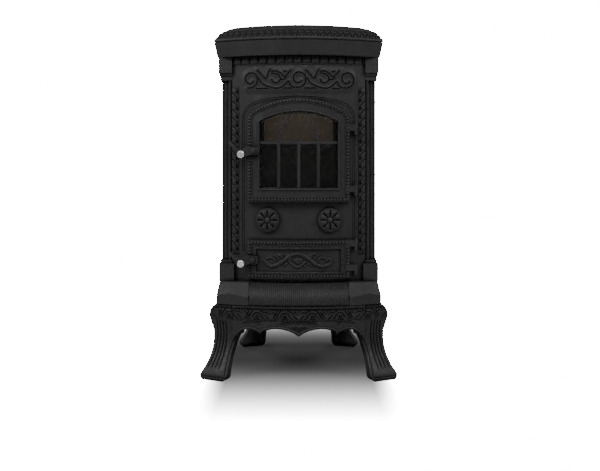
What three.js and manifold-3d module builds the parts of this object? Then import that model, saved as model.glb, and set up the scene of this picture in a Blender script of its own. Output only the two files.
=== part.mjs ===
// Free-standing cast-iron wood stove: bow front, fluted cabriole legs, arched fire door, ash door.
// Millimetres, +Z up, front towards -Y, origin on the floor under the middle of the bounding box.
import * as THREE from 'three';
import { mergeVertices } from 'three/addons/utils/BufferGeometryUtils.js';
import Module from 'manifold-3d';

const wasm = await Module();
wasm.setup();

// ---------------------------------------------------------------- driving dimensions
const GAP = 0.3; // clearance between touching castings
const RAD = Math.PI / 180;

const HEIGHT = 1000;
const PLINTH_BOTTOM = 204;
const PLINTH_TOP = 262;
const CASE_TOP = 900;
const CORNICE_TOP = 941;

// The bowed front is a stack of bands about one vertical axis.
const BOW_RADIUS = 500;
const BOW_CENTRE_Y = 322;
const BOW_STEP = 3; // degrees between the facets of a bowed band
const PLATE_THICKNESS = 12;
const FRONT_HALF_WIDTH = 190;
const DOOR_GAP = 4; // room for the rope seal between a door and the front
const DOOR_THICKNESS = 10;

// The base bows about an axis of its own.
const BASE_RADIUS = 585;
const BASE_FRONT_Y = -235;
const BASE_HALF_WIDTH = 231;
const BASE_BACK_HALF_WIDTH = 172;
const BASE_BACK_Y = 190;
const LIP_HALF_WIDTH = 140;
const LIP_BACK_Y = -172;

// Side casings taper towards the back.
const SIDE_FRONT_Y = -104;
const SIDE_FRONT_X = 218;
const SIDE_BACK_Y = 180;
const SIDE_BACK_X = 165;
const SIDE_THICKNESS = 8;

const CORNICE_HALF_WIDTH = 241.5;
const CORNICE_FRONT_Y = -205;
const CORNICE_RADIUS = 560;
const CORNICE_BACK_HALF_WIDTH = 184;
const CORNICE_BACK_Y = 198;

const DOOR_HALF_WIDTH = 145;
const FIRE_DOOR_BOTTOM = 488;
const FIRE_DOOR_SPRING = 717;
const FIRE_DOOR_APEX = 780;
const WINDOW_HALF_WIDTH = 109.5;
const WINDOW_BOTTOM = 527;
const WINDOW_SPRING = 714.5;
const WINDOW_APEX = 741;
const ASH_DOOR_BOTTOM = 273;
const ASH_DOOR_TOP = 380;

const HINGE_X = 161;
const HINGE_Y = -164;
const KNUCKLE_RADIUS = 5;
const PIN_RADIUS = 2.5;
const FIRE_HINGE_HEIGHTS = [693, 520];
const ASH_HINGE_HEIGHTS = [366, 297];

const LATCHES = {
  fire: { pivot: [-126, 631], stud: [-161, 622], tip: [-195, 657] },
  ash: { pivot: [-128, 325], stud: [-161, 314], tip: [-195, 343] },
};
const LATCH_TILT = 16; // degrees that a latch plane follows the bow
const LATCH_PLANE_Y = -181; // back face of the lever at its pivot
const LATCH_THICKNESS = 6;
const STUD_HEAD_RADIUS = 10.5;

const ROSETTE_X = 87;
const ROSETTE_Z = 437;
const ROSETTE_RADIUS = 34;
const ROSETTE_PETALS = 8;

const FLUE_Z = 800;
const FLUE_RADIUS = 60;

const COLOURS = {
  iron: 0x2b2b2c,
  steel: 0xb9bbbd,
  brick: 0xc2a77e,
  glass: 0x9a8468,
  rope: 0x8f8b80,
  sheet: 0x4a4a4b,
};

// ---------------------------------------------------------------- solids
function solid(geometry) {
  const bare = geometry.index ? geometry.toNonIndexed() : geometry.clone();
  bare.deleteAttribute('normal');
  bare.deleteAttribute('uv');
  const merged = mergeVertices(bare, 1e-4);
  const mesh = new wasm.Mesh({
    numProp: 3,
    vertProperties: new Float32Array(merged.attributes.position.array),
    triVerts: new Uint32Array(merged.index.array),
  });
  return new wasm.Manifold(mesh);
}

function geometryOf(body) {
  const mesh = body.getMesh();
  const geometry = new THREE.BufferGeometry();
  geometry.setAttribute('position', new THREE.BufferAttribute(new Float32Array(mesh.vertProperties), 3));
  geometry.setIndex(new THREE.BufferAttribute(new Uint32Array(mesh.triVerts), 1));
  return geometry;
}

function shapeOf(points) {
  return new THREE.Shape(points.map(([a, b]) => new THREE.Vector2(a, b)));
}

// An outline in plan, raised from z0 to z1.
function upright(shape, z0, z1, curveSegments = 8) {
  const geometry = new THREE.ExtrudeGeometry(shape, { depth: z1 - z0, bevelEnabled: false, curveSegments });
  geometry.translate(0, 0, z0);
  return solid(geometry);
}

// An outline in elevation (x, z), running from yFront back to yBack.
function facing(shape, yFront, yBack, curveSegments = 8) {
  const settings = { depth: yBack - yFront, bevelEnabled: false, curveSegments };
  const geometry = new THREE.ExtrudeGeometry(shape, settings);
  geometry.rotateX(Math.PI / 2);
  geometry.translate(0, yBack, 0);
  return solid(geometry);
}

// An outline in side view (y, z), running from x0 to x1.
function sideways(shape, x0, x1, curveSegments = 8) {
  const geometry = new THREE.ExtrudeGeometry(shape, { depth: x1 - x0, bevelEnabled: false, curveSegments });
  const turn = new THREE.Matrix4().makeBasis(
    new THREE.Vector3(0, 1, 0), new THREE.Vector3(0, 0, 1), new THREE.Vector3(1, 0, 0));
  geometry.applyMatrix4(turn);
  geometry.translate(x0, 0, 0);
  return solid(geometry);
}

function box(x0, x1, y0, y1, z0, z1) {
  const geometry = new THREE.BoxGeometry(x1 - x0, y1 - y0, z1 - z0);
  geometry.translate((x0 + x1) / 2, (y0 + y1) / 2, (z0 + z1) / 2);
  return solid(geometry);
}

function rod(radius, length, sides = 16) {
  const geometry = new THREE.CylinderGeometry(radius, radius, length, sides);
  geometry.rotateX(Math.PI / 2);
  return solid(geometry); // along Z, centred on the origin
}

function turned(profile, segments) {
  const points = profile.map(([radius, height]) => new THREE.Vector2(radius, height));
  const geometry = new THREE.LatheGeometry(points, segments);
  geometry.rotateX(Math.PI / 2);
  return solid(geometry); // about Z
}

function union(first, ...others) {
  return others.reduce((sum, body) => sum.add(body), first);
}

function cut(first, ...others) {
  return others.reduce((rest, body) => rest.subtract(body), first);
}

function moved(body, matrix) {
  const geometry = geometryOf(body);
  geometry.applyMatrix4(matrix);
  if (matrix.determinant() < 0) {
    geometry.index.array.reverse(); // a mirror image needs its faces turned over
  }
  return solid(geometry);
}

function shifted(body, x, y, z) {
  return moved(body, new THREE.Matrix4().makeTranslation(x, y, z));
}

function turnedAboutZ(body, degrees) {
  return moved(body, new THREE.Matrix4().makeRotationZ(degrees * RAD));
}

// Removes everything above the plane through three points given anticlockwise from above.
function planed(body, a, b, c) {
  const origin = new THREE.Vector3(...a);
  const along = new THREE.Vector3(...b).sub(origin).normalize();
  const normal = along.clone().cross(new THREE.Vector3(...c).sub(origin)).normalize();
  const across = normal.clone().cross(along);
  const block = new THREE.BoxGeometry(1200, 1200, 200);
  block.translate(0, 0, 100);
  block.applyMatrix4(new THREE.Matrix4().makeBasis(along, across, normal));
  block.translate(...a);
  return cut(body, solid(block));
}

// ---------------------------------------------------------------- bowed bands
function bowY(x, radius = BOW_RADIUS) {
  return BOW_CENTRE_Y - Math.sqrt(radius * radius - x * x);
}

function arc(radius, centreY, x0, x1) {
  const first = Math.asin(x0 / radius) / RAD;
  const last = Math.asin(x1 / radius) / RAD;
  const angles = [first];
  for (let step = Math.ceil((first + 0.2) / BOW_STEP); step * BOW_STEP < last - 0.2; step += 1) {
    angles.push(step * BOW_STEP);
  }
  angles.push(last);
  return angles.map((angle) => [radius * Math.sin(angle * RAD), centreY - radius * Math.cos(angle * RAD)]);
}

function band(inner, outer, x0, x1, z0, z1, centreY = BOW_CENTRE_Y) {
  const front = arc(outer, centreY, x0, x1);
  const back = arc(inner, centreY, x0, x1).reverse();
  return upright(shapeOf([...front, ...back]), z0, z1);
}

// An elevation outline bent onto the bow between two radii.
function onBow(shape, inner, outer, curveSegments = 8) {
  const reach = FRONT_HALF_WIDTH + 10;
  const slab = facing(shape, -300, 0, curveSegments);
  return slab.intersect(band(inner, outer, -reach, reach, 0, HEIGHT));
}

// ---------------------------------------------------------------- outlines
function rectangle(x0, x1, z0, z1) {
  return shapeOf([[x0, z0], [x1, z0], [x1, z1], [x0, z1]]);
}

// Three-centred arch: two corner arcs and one flat arc, tangent to each other.
function archOutline(halfWidth, bottom, spring, apex, cornerRadius, steps = 5) {
  const rise = apex - spring;
  const inset = halfWidth - cornerRadius;
  const radius = (inset ** 2 + rise ** 2 - cornerRadius ** 2) / (2 * (rise - cornerRadius));
  const meet = Math.atan2(inset, radius - rise);
  const right = [];
  for (let i = 0; i <= steps; i += 1) {
    const angle = (Math.PI / 2 - meet) * (i / steps);
    right.push([inset + cornerRadius * Math.cos(angle), spring + cornerRadius * Math.sin(angle)]);
  }
  for (let i = 1; i <= steps; i += 1) {
    const angle = meet * (1 - i / steps);
    right.push([radius * Math.sin(angle), apex - radius + radius * Math.cos(angle)]);
  }
  const left = right.slice(0, -1).reverse().map(([x, z]) => [-x, z]);
  return shapeOf([[-halfWidth, bottom], [halfWidth, bottom], ...right, ...left]);
}

function segmentalOutline(halfWidth, bottom, spring, apex, steps = 10) {
  const rise = apex - spring;
  const radius = (halfWidth ** 2 + rise ** 2) / (2 * rise);
  const half = Math.asin(halfWidth / radius);
  const top = [];
  for (let i = 0; i <= steps; i += 1) {
    const angle = half * (1 - (2 * i) / steps);
    top.push([radius * Math.sin(angle), apex - radius + radius * Math.cos(angle)]);
  }
  return shapeOf([[-halfWidth, bottom], [halfWidth, bottom], ...top]);
}

// Plan of a horizontal casting: bowed front, tapering sides, straight back.
function planOutline(frontX, frontY, radius, backX, backY) {
  const front = arc(radius, frontY + radius, -frontX, frontX);
  return shapeOf([...front, [backX, backY], [-backX, backY]]);
}

// Joins copies of a plan outline into one solid.
// Each level is [z, inset], the inset taken at the widest point.
function stacked(outline, levels) {
  const layers = levels.length - 1;
  const geometry = new THREE.ExtrudeGeometry(outline, { depth: layers, steps: layers, bevelEnabled: false });
  const position = geometry.attributes.position;
  for (let i = 0; i < position.count; i += 1) {
    const [z, inset] = levels[Math.round(position.getZ(i))];
    const x = position.getX(i) * (1 - inset / CORNICE_HALF_WIDTH);
    const y = position.getY(i) * (1 - inset / -CORNICE_FRONT_Y);
    position.setXYZ(i, x, y, z);
  }
  return solid(geometry);
}

// ---------------------------------------------------------------- the object
const stove = new THREE.Group();

function addPart(name, body, finish, metalness = 0.6, roughness = 0.65) {
  const material = new THREE.MeshStandardMaterial({ color: COLOURS[finish], metalness, roughness });
  const mesh = new THREE.Mesh(geometryOf(body), material);
  mesh.name = name;
  stove.add(mesh);
}

function mirrored(body) {
  return moved(body, new THREE.Matrix4().makeScale(-1, 1, 1));
}

function addPair(name, rightBody, finish) {
  addPart(`${name}_right`, rightBody, finish);
  addPart(`${name}_left`, mirrored(rightBody), finish);
}

// ---------------------------------------------------------------- legs
// Each leg faces outward: u runs along its face, v runs into the stove, the foot's face is at v = 0.
const LEG_TURN = 22;
const FRONT_FOOT = [-237.5, -229.5];
const REAR_FOOT = [-160, 200];
const LEG_OUTER = [
  [-31.5, 0], [-37.4, 5.4], [-39.4, 14.2], [-34.9, 24.5], [-30.3, 34.5], [-27, 48.8], [-24.8, 73],
  [-24.9, 98.9], [-25.6, 112.5], [-26.6, 126.4], [-31.5, 140.1], [-36.6, 154.2], [-40.2, 168.4],
  [-37, 182.9], [-29, 194.7], [-17, 202], [-12, 203.7],
];
const LEG_INNER = [
  [60, 203.7], [60, 126], [52, 118.5], [46.8, 107.3], [43.1, 96.2], [41.1, 83.3], [38.8, 68.1], [39.3, 53.9],
  [41.3, 40.2], [43.2, 26.3], [43.9, 14.3], [40, 5.5], [32, 0],
];
const LEG_FRONT = [
  [0, 0], [0, 12], [3, 20], [12, 35], [26, 52], [40, 72], [50, 95], [54, 118], [54, 140], [51.5, 160],
  [49.5, 180], [50.5, 203.7],
];
const LEG_BACK = [
  [80, 203.7], [78, 170], [78, 140], [76, 110], [66, 80], [50, 54], [36, 36], [27, 18], [27, 0],
];

function leg([footX, footY], rear) {
  const face = facing(shapeOf([...LEG_INNER, ...LEG_OUTER].reverse()), 0, 120);
  const profile = sideways(shapeOf([...LEG_BACK, ...LEG_FRONT].reverse()), -60, 110);
  const flip = rear ? -1 : 1;
  const matrix = new THREE.Matrix4().makeTranslation(footX, footY, 0)
    .multiply(new THREE.Matrix4().makeScale(1, flip, 1))
    .multiply(new THREE.Matrix4().makeRotationZ(-LEG_TURN * RAD));
  const body = moved(face.intersect(profile), matrix);
  return rear ? body.intersect(box(-300, 0, 100, 300, 0, 300)) : body;
}

function addLegs() {
  const frontLeft = leg(FRONT_FOOT, false);
  const rearLeft = leg(REAR_FOOT, true);
  addPart('leg_front_left', frontLeft, 'iron');
  addPart('leg_front_right', mirrored(frontLeft), 'iron');
  addPart('leg_rear_left', rearLeft, 'iron');
  addPart('leg_rear_right', mirrored(rearLeft), 'iron');
  return { frontLeft, rearLeft };
}

// ---------------------------------------------------------------- aprons between the legs
const APRON_THICKNESS = 9;
const APRON_TOP = PLINTH_BOTTOM - GAP;
const SKIRT_FRONT = [213, -178];
const SKIRT_REAR = [142, 150];

function frontApronOutline() {
  const shape = new THREE.Shape();
  shape.moveTo(-184, APRON_TOP);
  shape.lineTo(-184, 104);
  shape.quadraticCurveTo(-168, 136, -143, 137);
  shape.quadraticCurveTo(-120, 137, -109, 126);
  shape.quadraticCurveTo(-90, 140, -61, 140);
  shape.quadraticCurveTo(-25, 140, 0, 120);
  shape.quadraticCurveTo(25, 140, 61, 140);
  shape.quadraticCurveTo(90, 140, 109, 126);
  shape.quadraticCurveTo(120, 137, 140, 137);
  shape.quadraticCurveTo(168, 136, 184, 104);
  shape.lineTo(184, APRON_TOP);
  return shape;
}

function frontApron() {
  const centreY = BASE_FRONT_Y + BASE_RADIUS;
  const outer = BASE_RADIUS - 6;
  const ring = band(outer - APRON_THICKNESS, outer, -200, 200, 0, 300, centreY);
  return facing(frontApronOutline(), -300, 0, 4).intersect(ring);
}

// Straight skirt of a given length, centred on x = 0, with a lifted middle.
function skirtOutline(length) {
  const half = length / 2;
  const shape = new THREE.Shape();
  shape.moveTo(-half, APRON_TOP);
  shape.lineTo(-half, 116);
  shape.quadraticCurveTo(-half * 0.8, 142, -half * 0.35, 142);
  shape.quadraticCurveTo(-half * 0.15, 142, 0, 126);
  shape.quadraticCurveTo(half * 0.15, 142, half * 0.35, 142);
  shape.quadraticCurveTo(half * 0.8, 142, half, 116);
  shape.lineTo(half, APRON_TOP);
  return shape;
}

function addAprons(legs) {
  const clearance = (body) => {
    const grown = [[GAP, 0], [-GAP, 0], [0, GAP], [0, -GAP]].map(([x, y]) => shifted(body, x, y, 0));
    return union(...grown);
  };
  const frontLeft = clearance(legs.frontLeft);
  const rearLeft = clearance(legs.rearLeft);
  const frontRight = mirrored(frontLeft);
  const rearRight = mirrored(rearLeft);
  addPart('apron_front', cut(frontApron(), frontLeft, frontRight), 'iron');
  const run = Math.hypot(SKIRT_REAR[0] - SKIRT_FRONT[0], SKIRT_REAR[1] - SKIRT_FRONT[1]);
  const tilt = Math.atan2(SKIRT_REAR[1] - SKIRT_FRONT[1], SKIRT_REAR[0] - SKIRT_FRONT[0]) / RAD;
  const middle = [(SKIRT_FRONT[0] + SKIRT_REAR[0]) / 2, (SKIRT_FRONT[1] + SKIRT_REAR[1]) / 2];
  const place = new THREE.Matrix4().makeTranslation(...middle, 0)
    .multiply(new THREE.Matrix4().makeRotationZ(tilt * RAD));
  const side = moved(facing(skirtOutline(run), -APRON_THICKNESS / 2, APRON_THICKNESS / 2, 4), place);
  addPair('apron', largest(cut(side, frontRight, rearRight)), 'iron');
  const back = facing(skirtOutline(210), 156, 156 + APRON_THICKNESS, 4);
  addPart('apron_rear', largest(cut(back, rearLeft, rearRight)), 'iron');
}

function largest(body) {
  return body.decompose().sort((a, b) => b.volume() - a.volume())[0];
}

// ---------------------------------------------------------------- hearth plinth and ash lip
const SLOPE_FOOT = 227;
const LIP_RADIUS = 57;

function hearthPlinth() {
  const outline = planOutline(
    BASE_HALF_WIDTH, BASE_FRONT_Y, BASE_RADIUS, BASE_BACK_HALF_WIDTH, BASE_BACK_Y);
  const inner = planOutline(
    BASE_HALF_WIDTH - 14, LIP_BACK_Y + 12, BASE_RADIUS, BASE_BACK_HALF_WIDTH - 14, BASE_BACK_Y - 12);
  const block = upright(outline, PLINTH_BOTTOM, PLINTH_TOP);
  const notch = box(-LIP_HALF_WIDTH - GAP, LIP_HALF_WIDTH + GAP, -300, LIP_BACK_Y, 0, 300);
  const hollow = upright(inner, PLINTH_BOTTOM - 10, PLINTH_TOP - 10);
  const slopeTop = [-186, -178, PLINTH_TOP];
  const slopeBottom = [-140, -217, SLOPE_FOOT];
  const slopeEnd = [-140, -185, PLINTH_TOP];
  const mitreEnd = [-229, -150, PLINTH_TOP];
  const mitreFoot = [-227, -190, SLOPE_FOOT];
  const sloped = planed(
    planed(cut(block, notch, hollow), slopeTop, slopeBottom, slopeEnd), mitreEnd, mitreFoot, slopeTop);
  const half = sloped.intersect(box(-300, 0, -300, 300, 0, 300));
  return cut(half.add(mirrored(half)), tieRodBores());
}

function ashLip() {
  const axisY = BASE_FRONT_Y + BASE_RADIUS;
  const steps = 6;
  const back = BASE_RADIUS - LIP_RADIUS - 14;
  const outer = [];
  for (let i = 0; i <= steps; i += 1) {
    const angle = (i / steps) * (Math.PI / 2);
    outer.push([
      BASE_RADIUS - LIP_RADIUS + LIP_RADIUS * Math.cos(angle),
      PLINTH_BOTTOM + (PLINTH_TOP - PLINTH_BOTTOM) * Math.sin(angle),
    ]);
  }
  const profile = [[back, PLINTH_BOTTOM], ...outer, [back, PLINTH_TOP], [back, PLINTH_BOTTOM]];
  const ring = shifted(turned(profile, 120), 0, axisY, 0);
  const reach = box(-LIP_HALF_WIDTH, LIP_HALF_WIDTH, -300, LIP_BACK_Y - GAP, 0, 300);
  return ring.intersect(reach);
}

// ---------------------------------------------------------------- case
function frontFrame() {
  const z0 = PLINTH_TOP + GAP;
  const z1 = CASE_TOP - GAP;
  const outer = BOW_RADIUS;
  const inner = BOW_RADIUS - PLATE_THICKNESS;
  let body = band(inner, outer, -FRONT_HALF_WIDTH, FRONT_HALF_WIDTH, z0, z1);
  const fireOpening = archOutline(126, 506, FIRE_DOOR_SPRING - 6, 758, 24);
  const ashOpening = rectangle(-112, 112, 284, 366);
  body = cut(body, facing(fireOpening, -300, 0), facing(ashOpening, -300, 0));
  for (const x of [-ROSETTE_X, ROSETTE_X]) {
    const bore = rod(ROSETTE_STUD_RADIUS + GAP, 60, 16);
    body = cut(body, placedOnBow(union(airSlots(), bore), x, ROSETTE_Z, BOW_RADIUS - 20));
  }
  const heights = [...FIRE_HINGE_HEIGHTS, ...ASH_HINGE_HEIGHTS];
  const lugs = heights.map((height) => frameLug(height));
  const bores = heights.map((height) => pinBore(height));
  return cut(union(body, ...lugs), ...bores);
}

// Turns a solid built about Z, facing +Z, so that it stands on the bow at x facing outward.
function placedOnBow(body, x, z, radius) {
  const angle = Math.asin(x / BOW_RADIUS);
  const matrix = new THREE.Matrix4()
    .makeTranslation(radius * Math.sin(angle), BOW_CENTRE_Y - radius * Math.cos(angle), z)
    .multiply(new THREE.Matrix4().makeRotationZ(angle))
    .multiply(new THREE.Matrix4().makeRotationX(Math.PI / 2));
  return moved(body, matrix);
}

function wedge(innerRadius, outerRadius, halfAngle, depth) {
  const points = [];
  for (const [radius, sign] of [[innerRadius, -1], [outerRadius, -1], [outerRadius, 1], [innerRadius, 1]]) {
    const angle = sign * halfAngle * RAD;
    points.push([radius * Math.cos(angle), radius * Math.sin(angle)]);
  }
  return upright(shapeOf(points), 0, depth);
}

function airSlots(depth = 40) {
  const slots = [];
  for (let i = 0; i < ROSETTE_PETALS; i += 1) {
    slots.push(turnedAboutZ(wedge(10, 26, 7.5, depth), (360 / ROSETTE_PETALS) * i));
  }
  return union(...slots);
}

// A rosette hangs on its stud in front of the plate and turns half a petal to shut the slots behind it.
const ROSETTE_STANDOFF = 1.6;
const ROSETTE_THICKNESS = 6;
const ROSETTE_STUD_RADIUS = 4;

function airRosette() {
  const disc = rod(ROSETTE_RADIUS, ROSETTE_THICKNESS, 48);
  const bore = rod(ROSETTE_STUD_RADIUS + GAP, 40, 16);
  const body = shifted(cut(disc, bore), 0, 0, ROSETTE_THICKNESS / 2);
  const slots = shifted(airSlots(), 0, 0, -10);
  return cut(body, slots);
}

function rosetteStud() {
  const shank = [[0, -8], [ROSETTE_STUD_RADIUS, -8], [ROSETTE_STUD_RADIUS, ROSETTE_THICKNESS + GAP]];
  const head = [[8, ROSETTE_THICKNESS + GAP], [8, 8], [5, 10], [0, 10.5]];
  return turned([...shank, ...head], 16);
}

const FACE_RADIUS = BOW_RADIUS + ROSETTE_STANDOFF;

// Fixed half of a hinge: a lug standing off the front with a bore for the pin.
function frameLug(height) {
  const arm = box(HINGE_X - 3, HINGE_X + 3, HINGE_Y, bowY(HINGE_X) + 4, height - 14, height - 4.3);
  const eye = shifted(rod(KNUCKLE_RADIUS, 9.7, 14), HINGE_X, HINGE_Y, height - 9.15);
  return union(arm, eye);
}

// Moving half of a hinge: an eye reaching over the lug from the edge of the door.
function doorEye(height) {
  const z0 = height - 4;
  const z1 = height + 14;
  const eye = shifted(rod(KNUCKLE_RADIUS, z1 - z0, 14), HINGE_X, HINGE_Y, (z0 + z1) / 2);
  const arm = upright(shapeOf([
    [DOOR_HALF_WIDTH - 12, -175.5], [HINGE_X, HINGE_Y - 4], [HINGE_X, HINGE_Y + 2],
    [DOOR_HALF_WIDTH - 12, -165.5],
  ]), z0, z1);
  return union(eye, arm);
}

function pinBore(height) {
  return shifted(rod(PIN_RADIUS + GAP, 60, 12), HINGE_X, HINGE_Y, height);
}

function hingePin(height) {
  const under = 14 + GAP;
  const profile = [
    [0, -14], [PIN_RADIUS, -14], [PIN_RADIUS, under], [4.5, under], [4.5, under + 3], [0, under + 3],
  ];
  return shifted(turned(profile, 12), HINGE_X, HINGE_Y, height);
}

function post() {
  const face = bowY(FRONT_HALF_WIDTH);
  const x0 = FRONT_HALF_WIDTH + GAP;
  const back = SIDE_FRONT_Y - GAP;
  const shaftPlan = shapeOf([
    [x0, back], [x0, face + 4], [204, face + 8], [215, face + 17], [221.3, face + 28], [221.3, back],
  ].reverse());
  const z0 = PLINTH_TOP + GAP;
  const z1 = CASE_TOP - GAP;
  let body = upright(shaftPlan, z0, z1);
  for (const [x, y, radius] of [[197, face + 6, 5.4], [208.5, face + 11.5, 4.6], [217, face + 20.5, 4.6]]) {
    body = union(body, shifted(rod(radius, z1 - z0, 12), x, y, (z0 + z1) / 2));
  }
  const tier = (left, right, front, low, high) => box(left, right, front, back, low, high);
  const capital = [
    tier(x0, 229, face - 8, 855, z1),
    tier(x0, 227, face - 4, 848, 855.1),
    tier(x0, 224.3, face - 1, 835, 848.1),
  ];
  const overlap = cut(
    tier(184, 227, face - 12, z0, 312),
    band(BOW_RADIUS - 60, BOW_RADIUS + 0.4, 150, FRONT_HALF_WIDTH + GAP, 0, HEIGHT));
  const shoulder = tier(x0, 223.5, face - 4, 311.9, 321);
  return union(body, ...capital, overlap, shoulder);
}

function sidePanel() {
  const outlinePoints = [
    [SIDE_FRONT_X - SIDE_THICKNESS, SIDE_FRONT_Y], [SIDE_FRONT_X, SIDE_FRONT_Y], [SIDE_BACK_X, SIDE_BACK_Y],
    [SIDE_BACK_X - SIDE_THICKNESS, SIDE_BACK_Y],
  ];
  return upright(shapeOf(outlinePoints), PLINTH_TOP + GAP, CASE_TOP - GAP);
}

function backPanel() {
  const y0 = SIDE_BACK_Y + GAP;
  const plate = box(-SIDE_BACK_X, SIDE_BACK_X, y0, y0 + SIDE_THICKNESS, PLINTH_TOP + GAP, CASE_TOP - GAP);
  return cut(plate, flueAxis(rod(FLUE_RADIUS - 2, 60, 32), y0));
}

function flueAxis(body, y) {
  const matrix = new THREE.Matrix4().makeTranslation(0, y, FLUE_Z)
    .multiply(new THREE.Matrix4().makeRotationX(-Math.PI / 2));
  return moved(body, matrix);
}

function flueCollar() {
  const flange = SIDE_BACK_Y + SIDE_THICKNESS + 2 * GAP;
  const profile = [
    [FLUE_RADIUS - 5, 0], [FLUE_RADIUS + 20, 0], [FLUE_RADIUS + 20, 6], [FLUE_RADIUS, 9], [FLUE_RADIUS, 54],
    [FLUE_RADIUS - 5, 54], [FLUE_RADIUS - 5, 0],
  ];
  return flueAxis(turned(profile, 32), flange);
}

// ---------------------------------------------------------------- top
function topOutline(grow) {
  return planOutline(
    CORNICE_HALF_WIDTH + grow, CORNICE_FRONT_Y - grow, CORNICE_RADIUS, CORNICE_BACK_HALF_WIDTH + grow,
    CORNICE_BACK_Y + grow);
}

function cornice() {
  const shell = stacked(topOutline(0), [[CASE_TOP, 9], [CORNICE_TOP, 0]]);
  const throat = upright(topOutline(-60), 0, HEIGHT);
  const ledge = upright(topOutline(-36), CASE_TOP + 10, HEIGHT);
  return cut(shell, throat, ledge);
}

function innerTop() {
  return cut(upright(topOutline(-36 - GAP), CASE_TOP + 10 + GAP, CASE_TOP + 20), tieRodBores());
}

const TOP_RING_X = 172;
const TOP_RING_Y = 140;
const TOP_SLOTS = 38;

function topPlate() {
  const z0 = CORNICE_TOP + GAP;
  const shell = stacked(topOutline(0), [
    [z0, 6], [942.4, 6], [942.8, 1], [945.5, -1], [949, 1], [953, 4], [960, 9], [968, 15], [977, 27],
    [985, 40], [993, 60], [998, 80], [999.7, 100], [HEIGHT, 122],
  ]);
  const under = stacked(topOutline(0), [
    [z0 - 1, 18], [952, 20], [964, 32], [977, 56], [986, 82], [991, 110], [992, 150],
  ]);
  return cut(shell, under, topSlots());
}

// Leaf-shaped openings fan out round the crown.
function topSlots() {
  const leaf = new THREE.Shape();
  leaf.moveTo(0, -15);
  leaf.quadraticCurveTo(7, 0, 0, 15);
  leaf.quadraticCurveTo(-7, 0, 0, -15);
  const slots = [];
  for (let i = 0; i < TOP_SLOTS; i += 1) {
    const angle = (360 / TOP_SLOTS) * (i + 0.5);
    const x = TOP_RING_X * Math.cos(angle * RAD);
    const y = TOP_RING_Y * Math.sin(angle * RAD);
    const heading = Math.atan2(y * TOP_RING_X, x * TOP_RING_Y) / RAD - 90 + 25;
    slots.push(shifted(turnedAboutZ(upright(leaf, 900, 1100, 2), heading), x, y - 10, 0));
  }
  return union(...slots);
}

// ---------------------------------------------------------------- firebox
const GRATE_FLOOR = 470;
const BAFFLE_Z = 800;

function lining(run, height) {
  return box(-run / 2, run / 2, -12, 12, GRATE_FLOOR + 10 + GAP, GRATE_FLOOR + 10 + height);
}

function besideWall(body, distance, midY) {
  const slope = (SIDE_FRONT_X - SIDE_BACK_X) / (SIDE_BACK_Y - SIDE_FRONT_Y);
  const angle = 90 + Math.atan(slope) / RAD;
  const x = SIDE_FRONT_X - slope * (midY - SIDE_FRONT_Y) - distance;
  const matrix = new THREE.Matrix4().makeTranslation(x, midY, 0)
    .multiply(new THREE.Matrix4().makeRotationZ(angle * RAD));
  return moved(body, matrix);
}

// Four rods draw the top and the base together on the case, with a nut at each end.
const TIE_RODS = { front: [170, -112], rear: [118, 132] };
const TIE_ROD_RADIUS = 4;
const NUT_RADIUS = 8;

function tieRod([x, y]) {
  const low = PLINTH_TOP - 10 - GAP;
  const high = CASE_TOP + 20 + GAP;
  const profile = [
    [0, low - 8], [NUT_RADIUS, low - 8], [NUT_RADIUS, low], [TIE_ROD_RADIUS, low], [TIE_ROD_RADIUS, high],
    [NUT_RADIUS, high], [NUT_RADIUS, high + 7], [0, high + 7],
  ];
  return shifted(turned(profile, 8), x, y, 0);
}

function tieRodBores() {
  const places = Object.values(TIE_RODS).flatMap(([x, y]) => [[x, y], [-x, y]]);
  const bore = rod(TIE_ROD_RADIUS + 2 * GAP, 2 * HEIGHT, 8);
  return union(...places.map(([x, y]) => shifted(bore, x, y, HEIGHT / 2)));
}

function grateFrame() {
  const outline = planOutline(188, -163, BOW_RADIUS - 14, 150, 172);
  const throat = box(-92, 92, -92, 92, 0, HEIGHT);
  return cut(upright(outline, GRATE_FLOOR, GRATE_FLOOR + 10), throat, tieRodBores());
}

function grate() {
  const plate = box(-91, 91, -91, 91, GRATE_FLOOR, GRATE_FLOOR + 9);
  const slots = [];
  for (let i = -4; i <= 4; i += 1) {
    slots.push(box(i * 19 - 4, i * 19 + 4, -78, -6, 0, HEIGHT));
    slots.push(box(i * 19 - 4, i * 19 + 4, 6, 78, 0, HEIGHT));
  }
  return cut(plate, ...slots);
}

function bafflePlate() {
  const outline = shapeOf([[-148, -60], [148, -60], [128, 126], [-128, 126]]);
  return upright(outline, BAFFLE_Z, BAFFLE_Z + 10);
}

function logGuard() {
  const plate = box(-128, 128, -141, -135, 488, 648);
  const rail = box(-128, 128, -142, -134, 644, 652);
  const feet = [-128, 118].map((x) => box(x, x + 10, -142, -110, GRATE_FLOOR + 10 + GAP, 500));
  return union(plate, rail, ...feet);
}

function basePlate() {
  const outline = planOutline(188, -163, BOW_RADIUS - 14, 152, 176);
  const plate = upright(outline, PLINTH_TOP + GAP, PLINTH_TOP + 9);
  const runners = [-70, 70].map((x) => box(x - 5, x + 5, -150, 120, PLINTH_TOP + 8, 286));
  return cut(union(plate, ...runners), tieRodBores());
}

// ---------------------------------------------------------------- doors
const DOOR_INNER = BOW_RADIUS + DOOR_GAP;
const DOOR_OUTER = DOOR_INNER + DOOR_THICKNESS;
const MULLIONS = [-56, 0, 55];
const TRANSOM_Z = 655;

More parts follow.
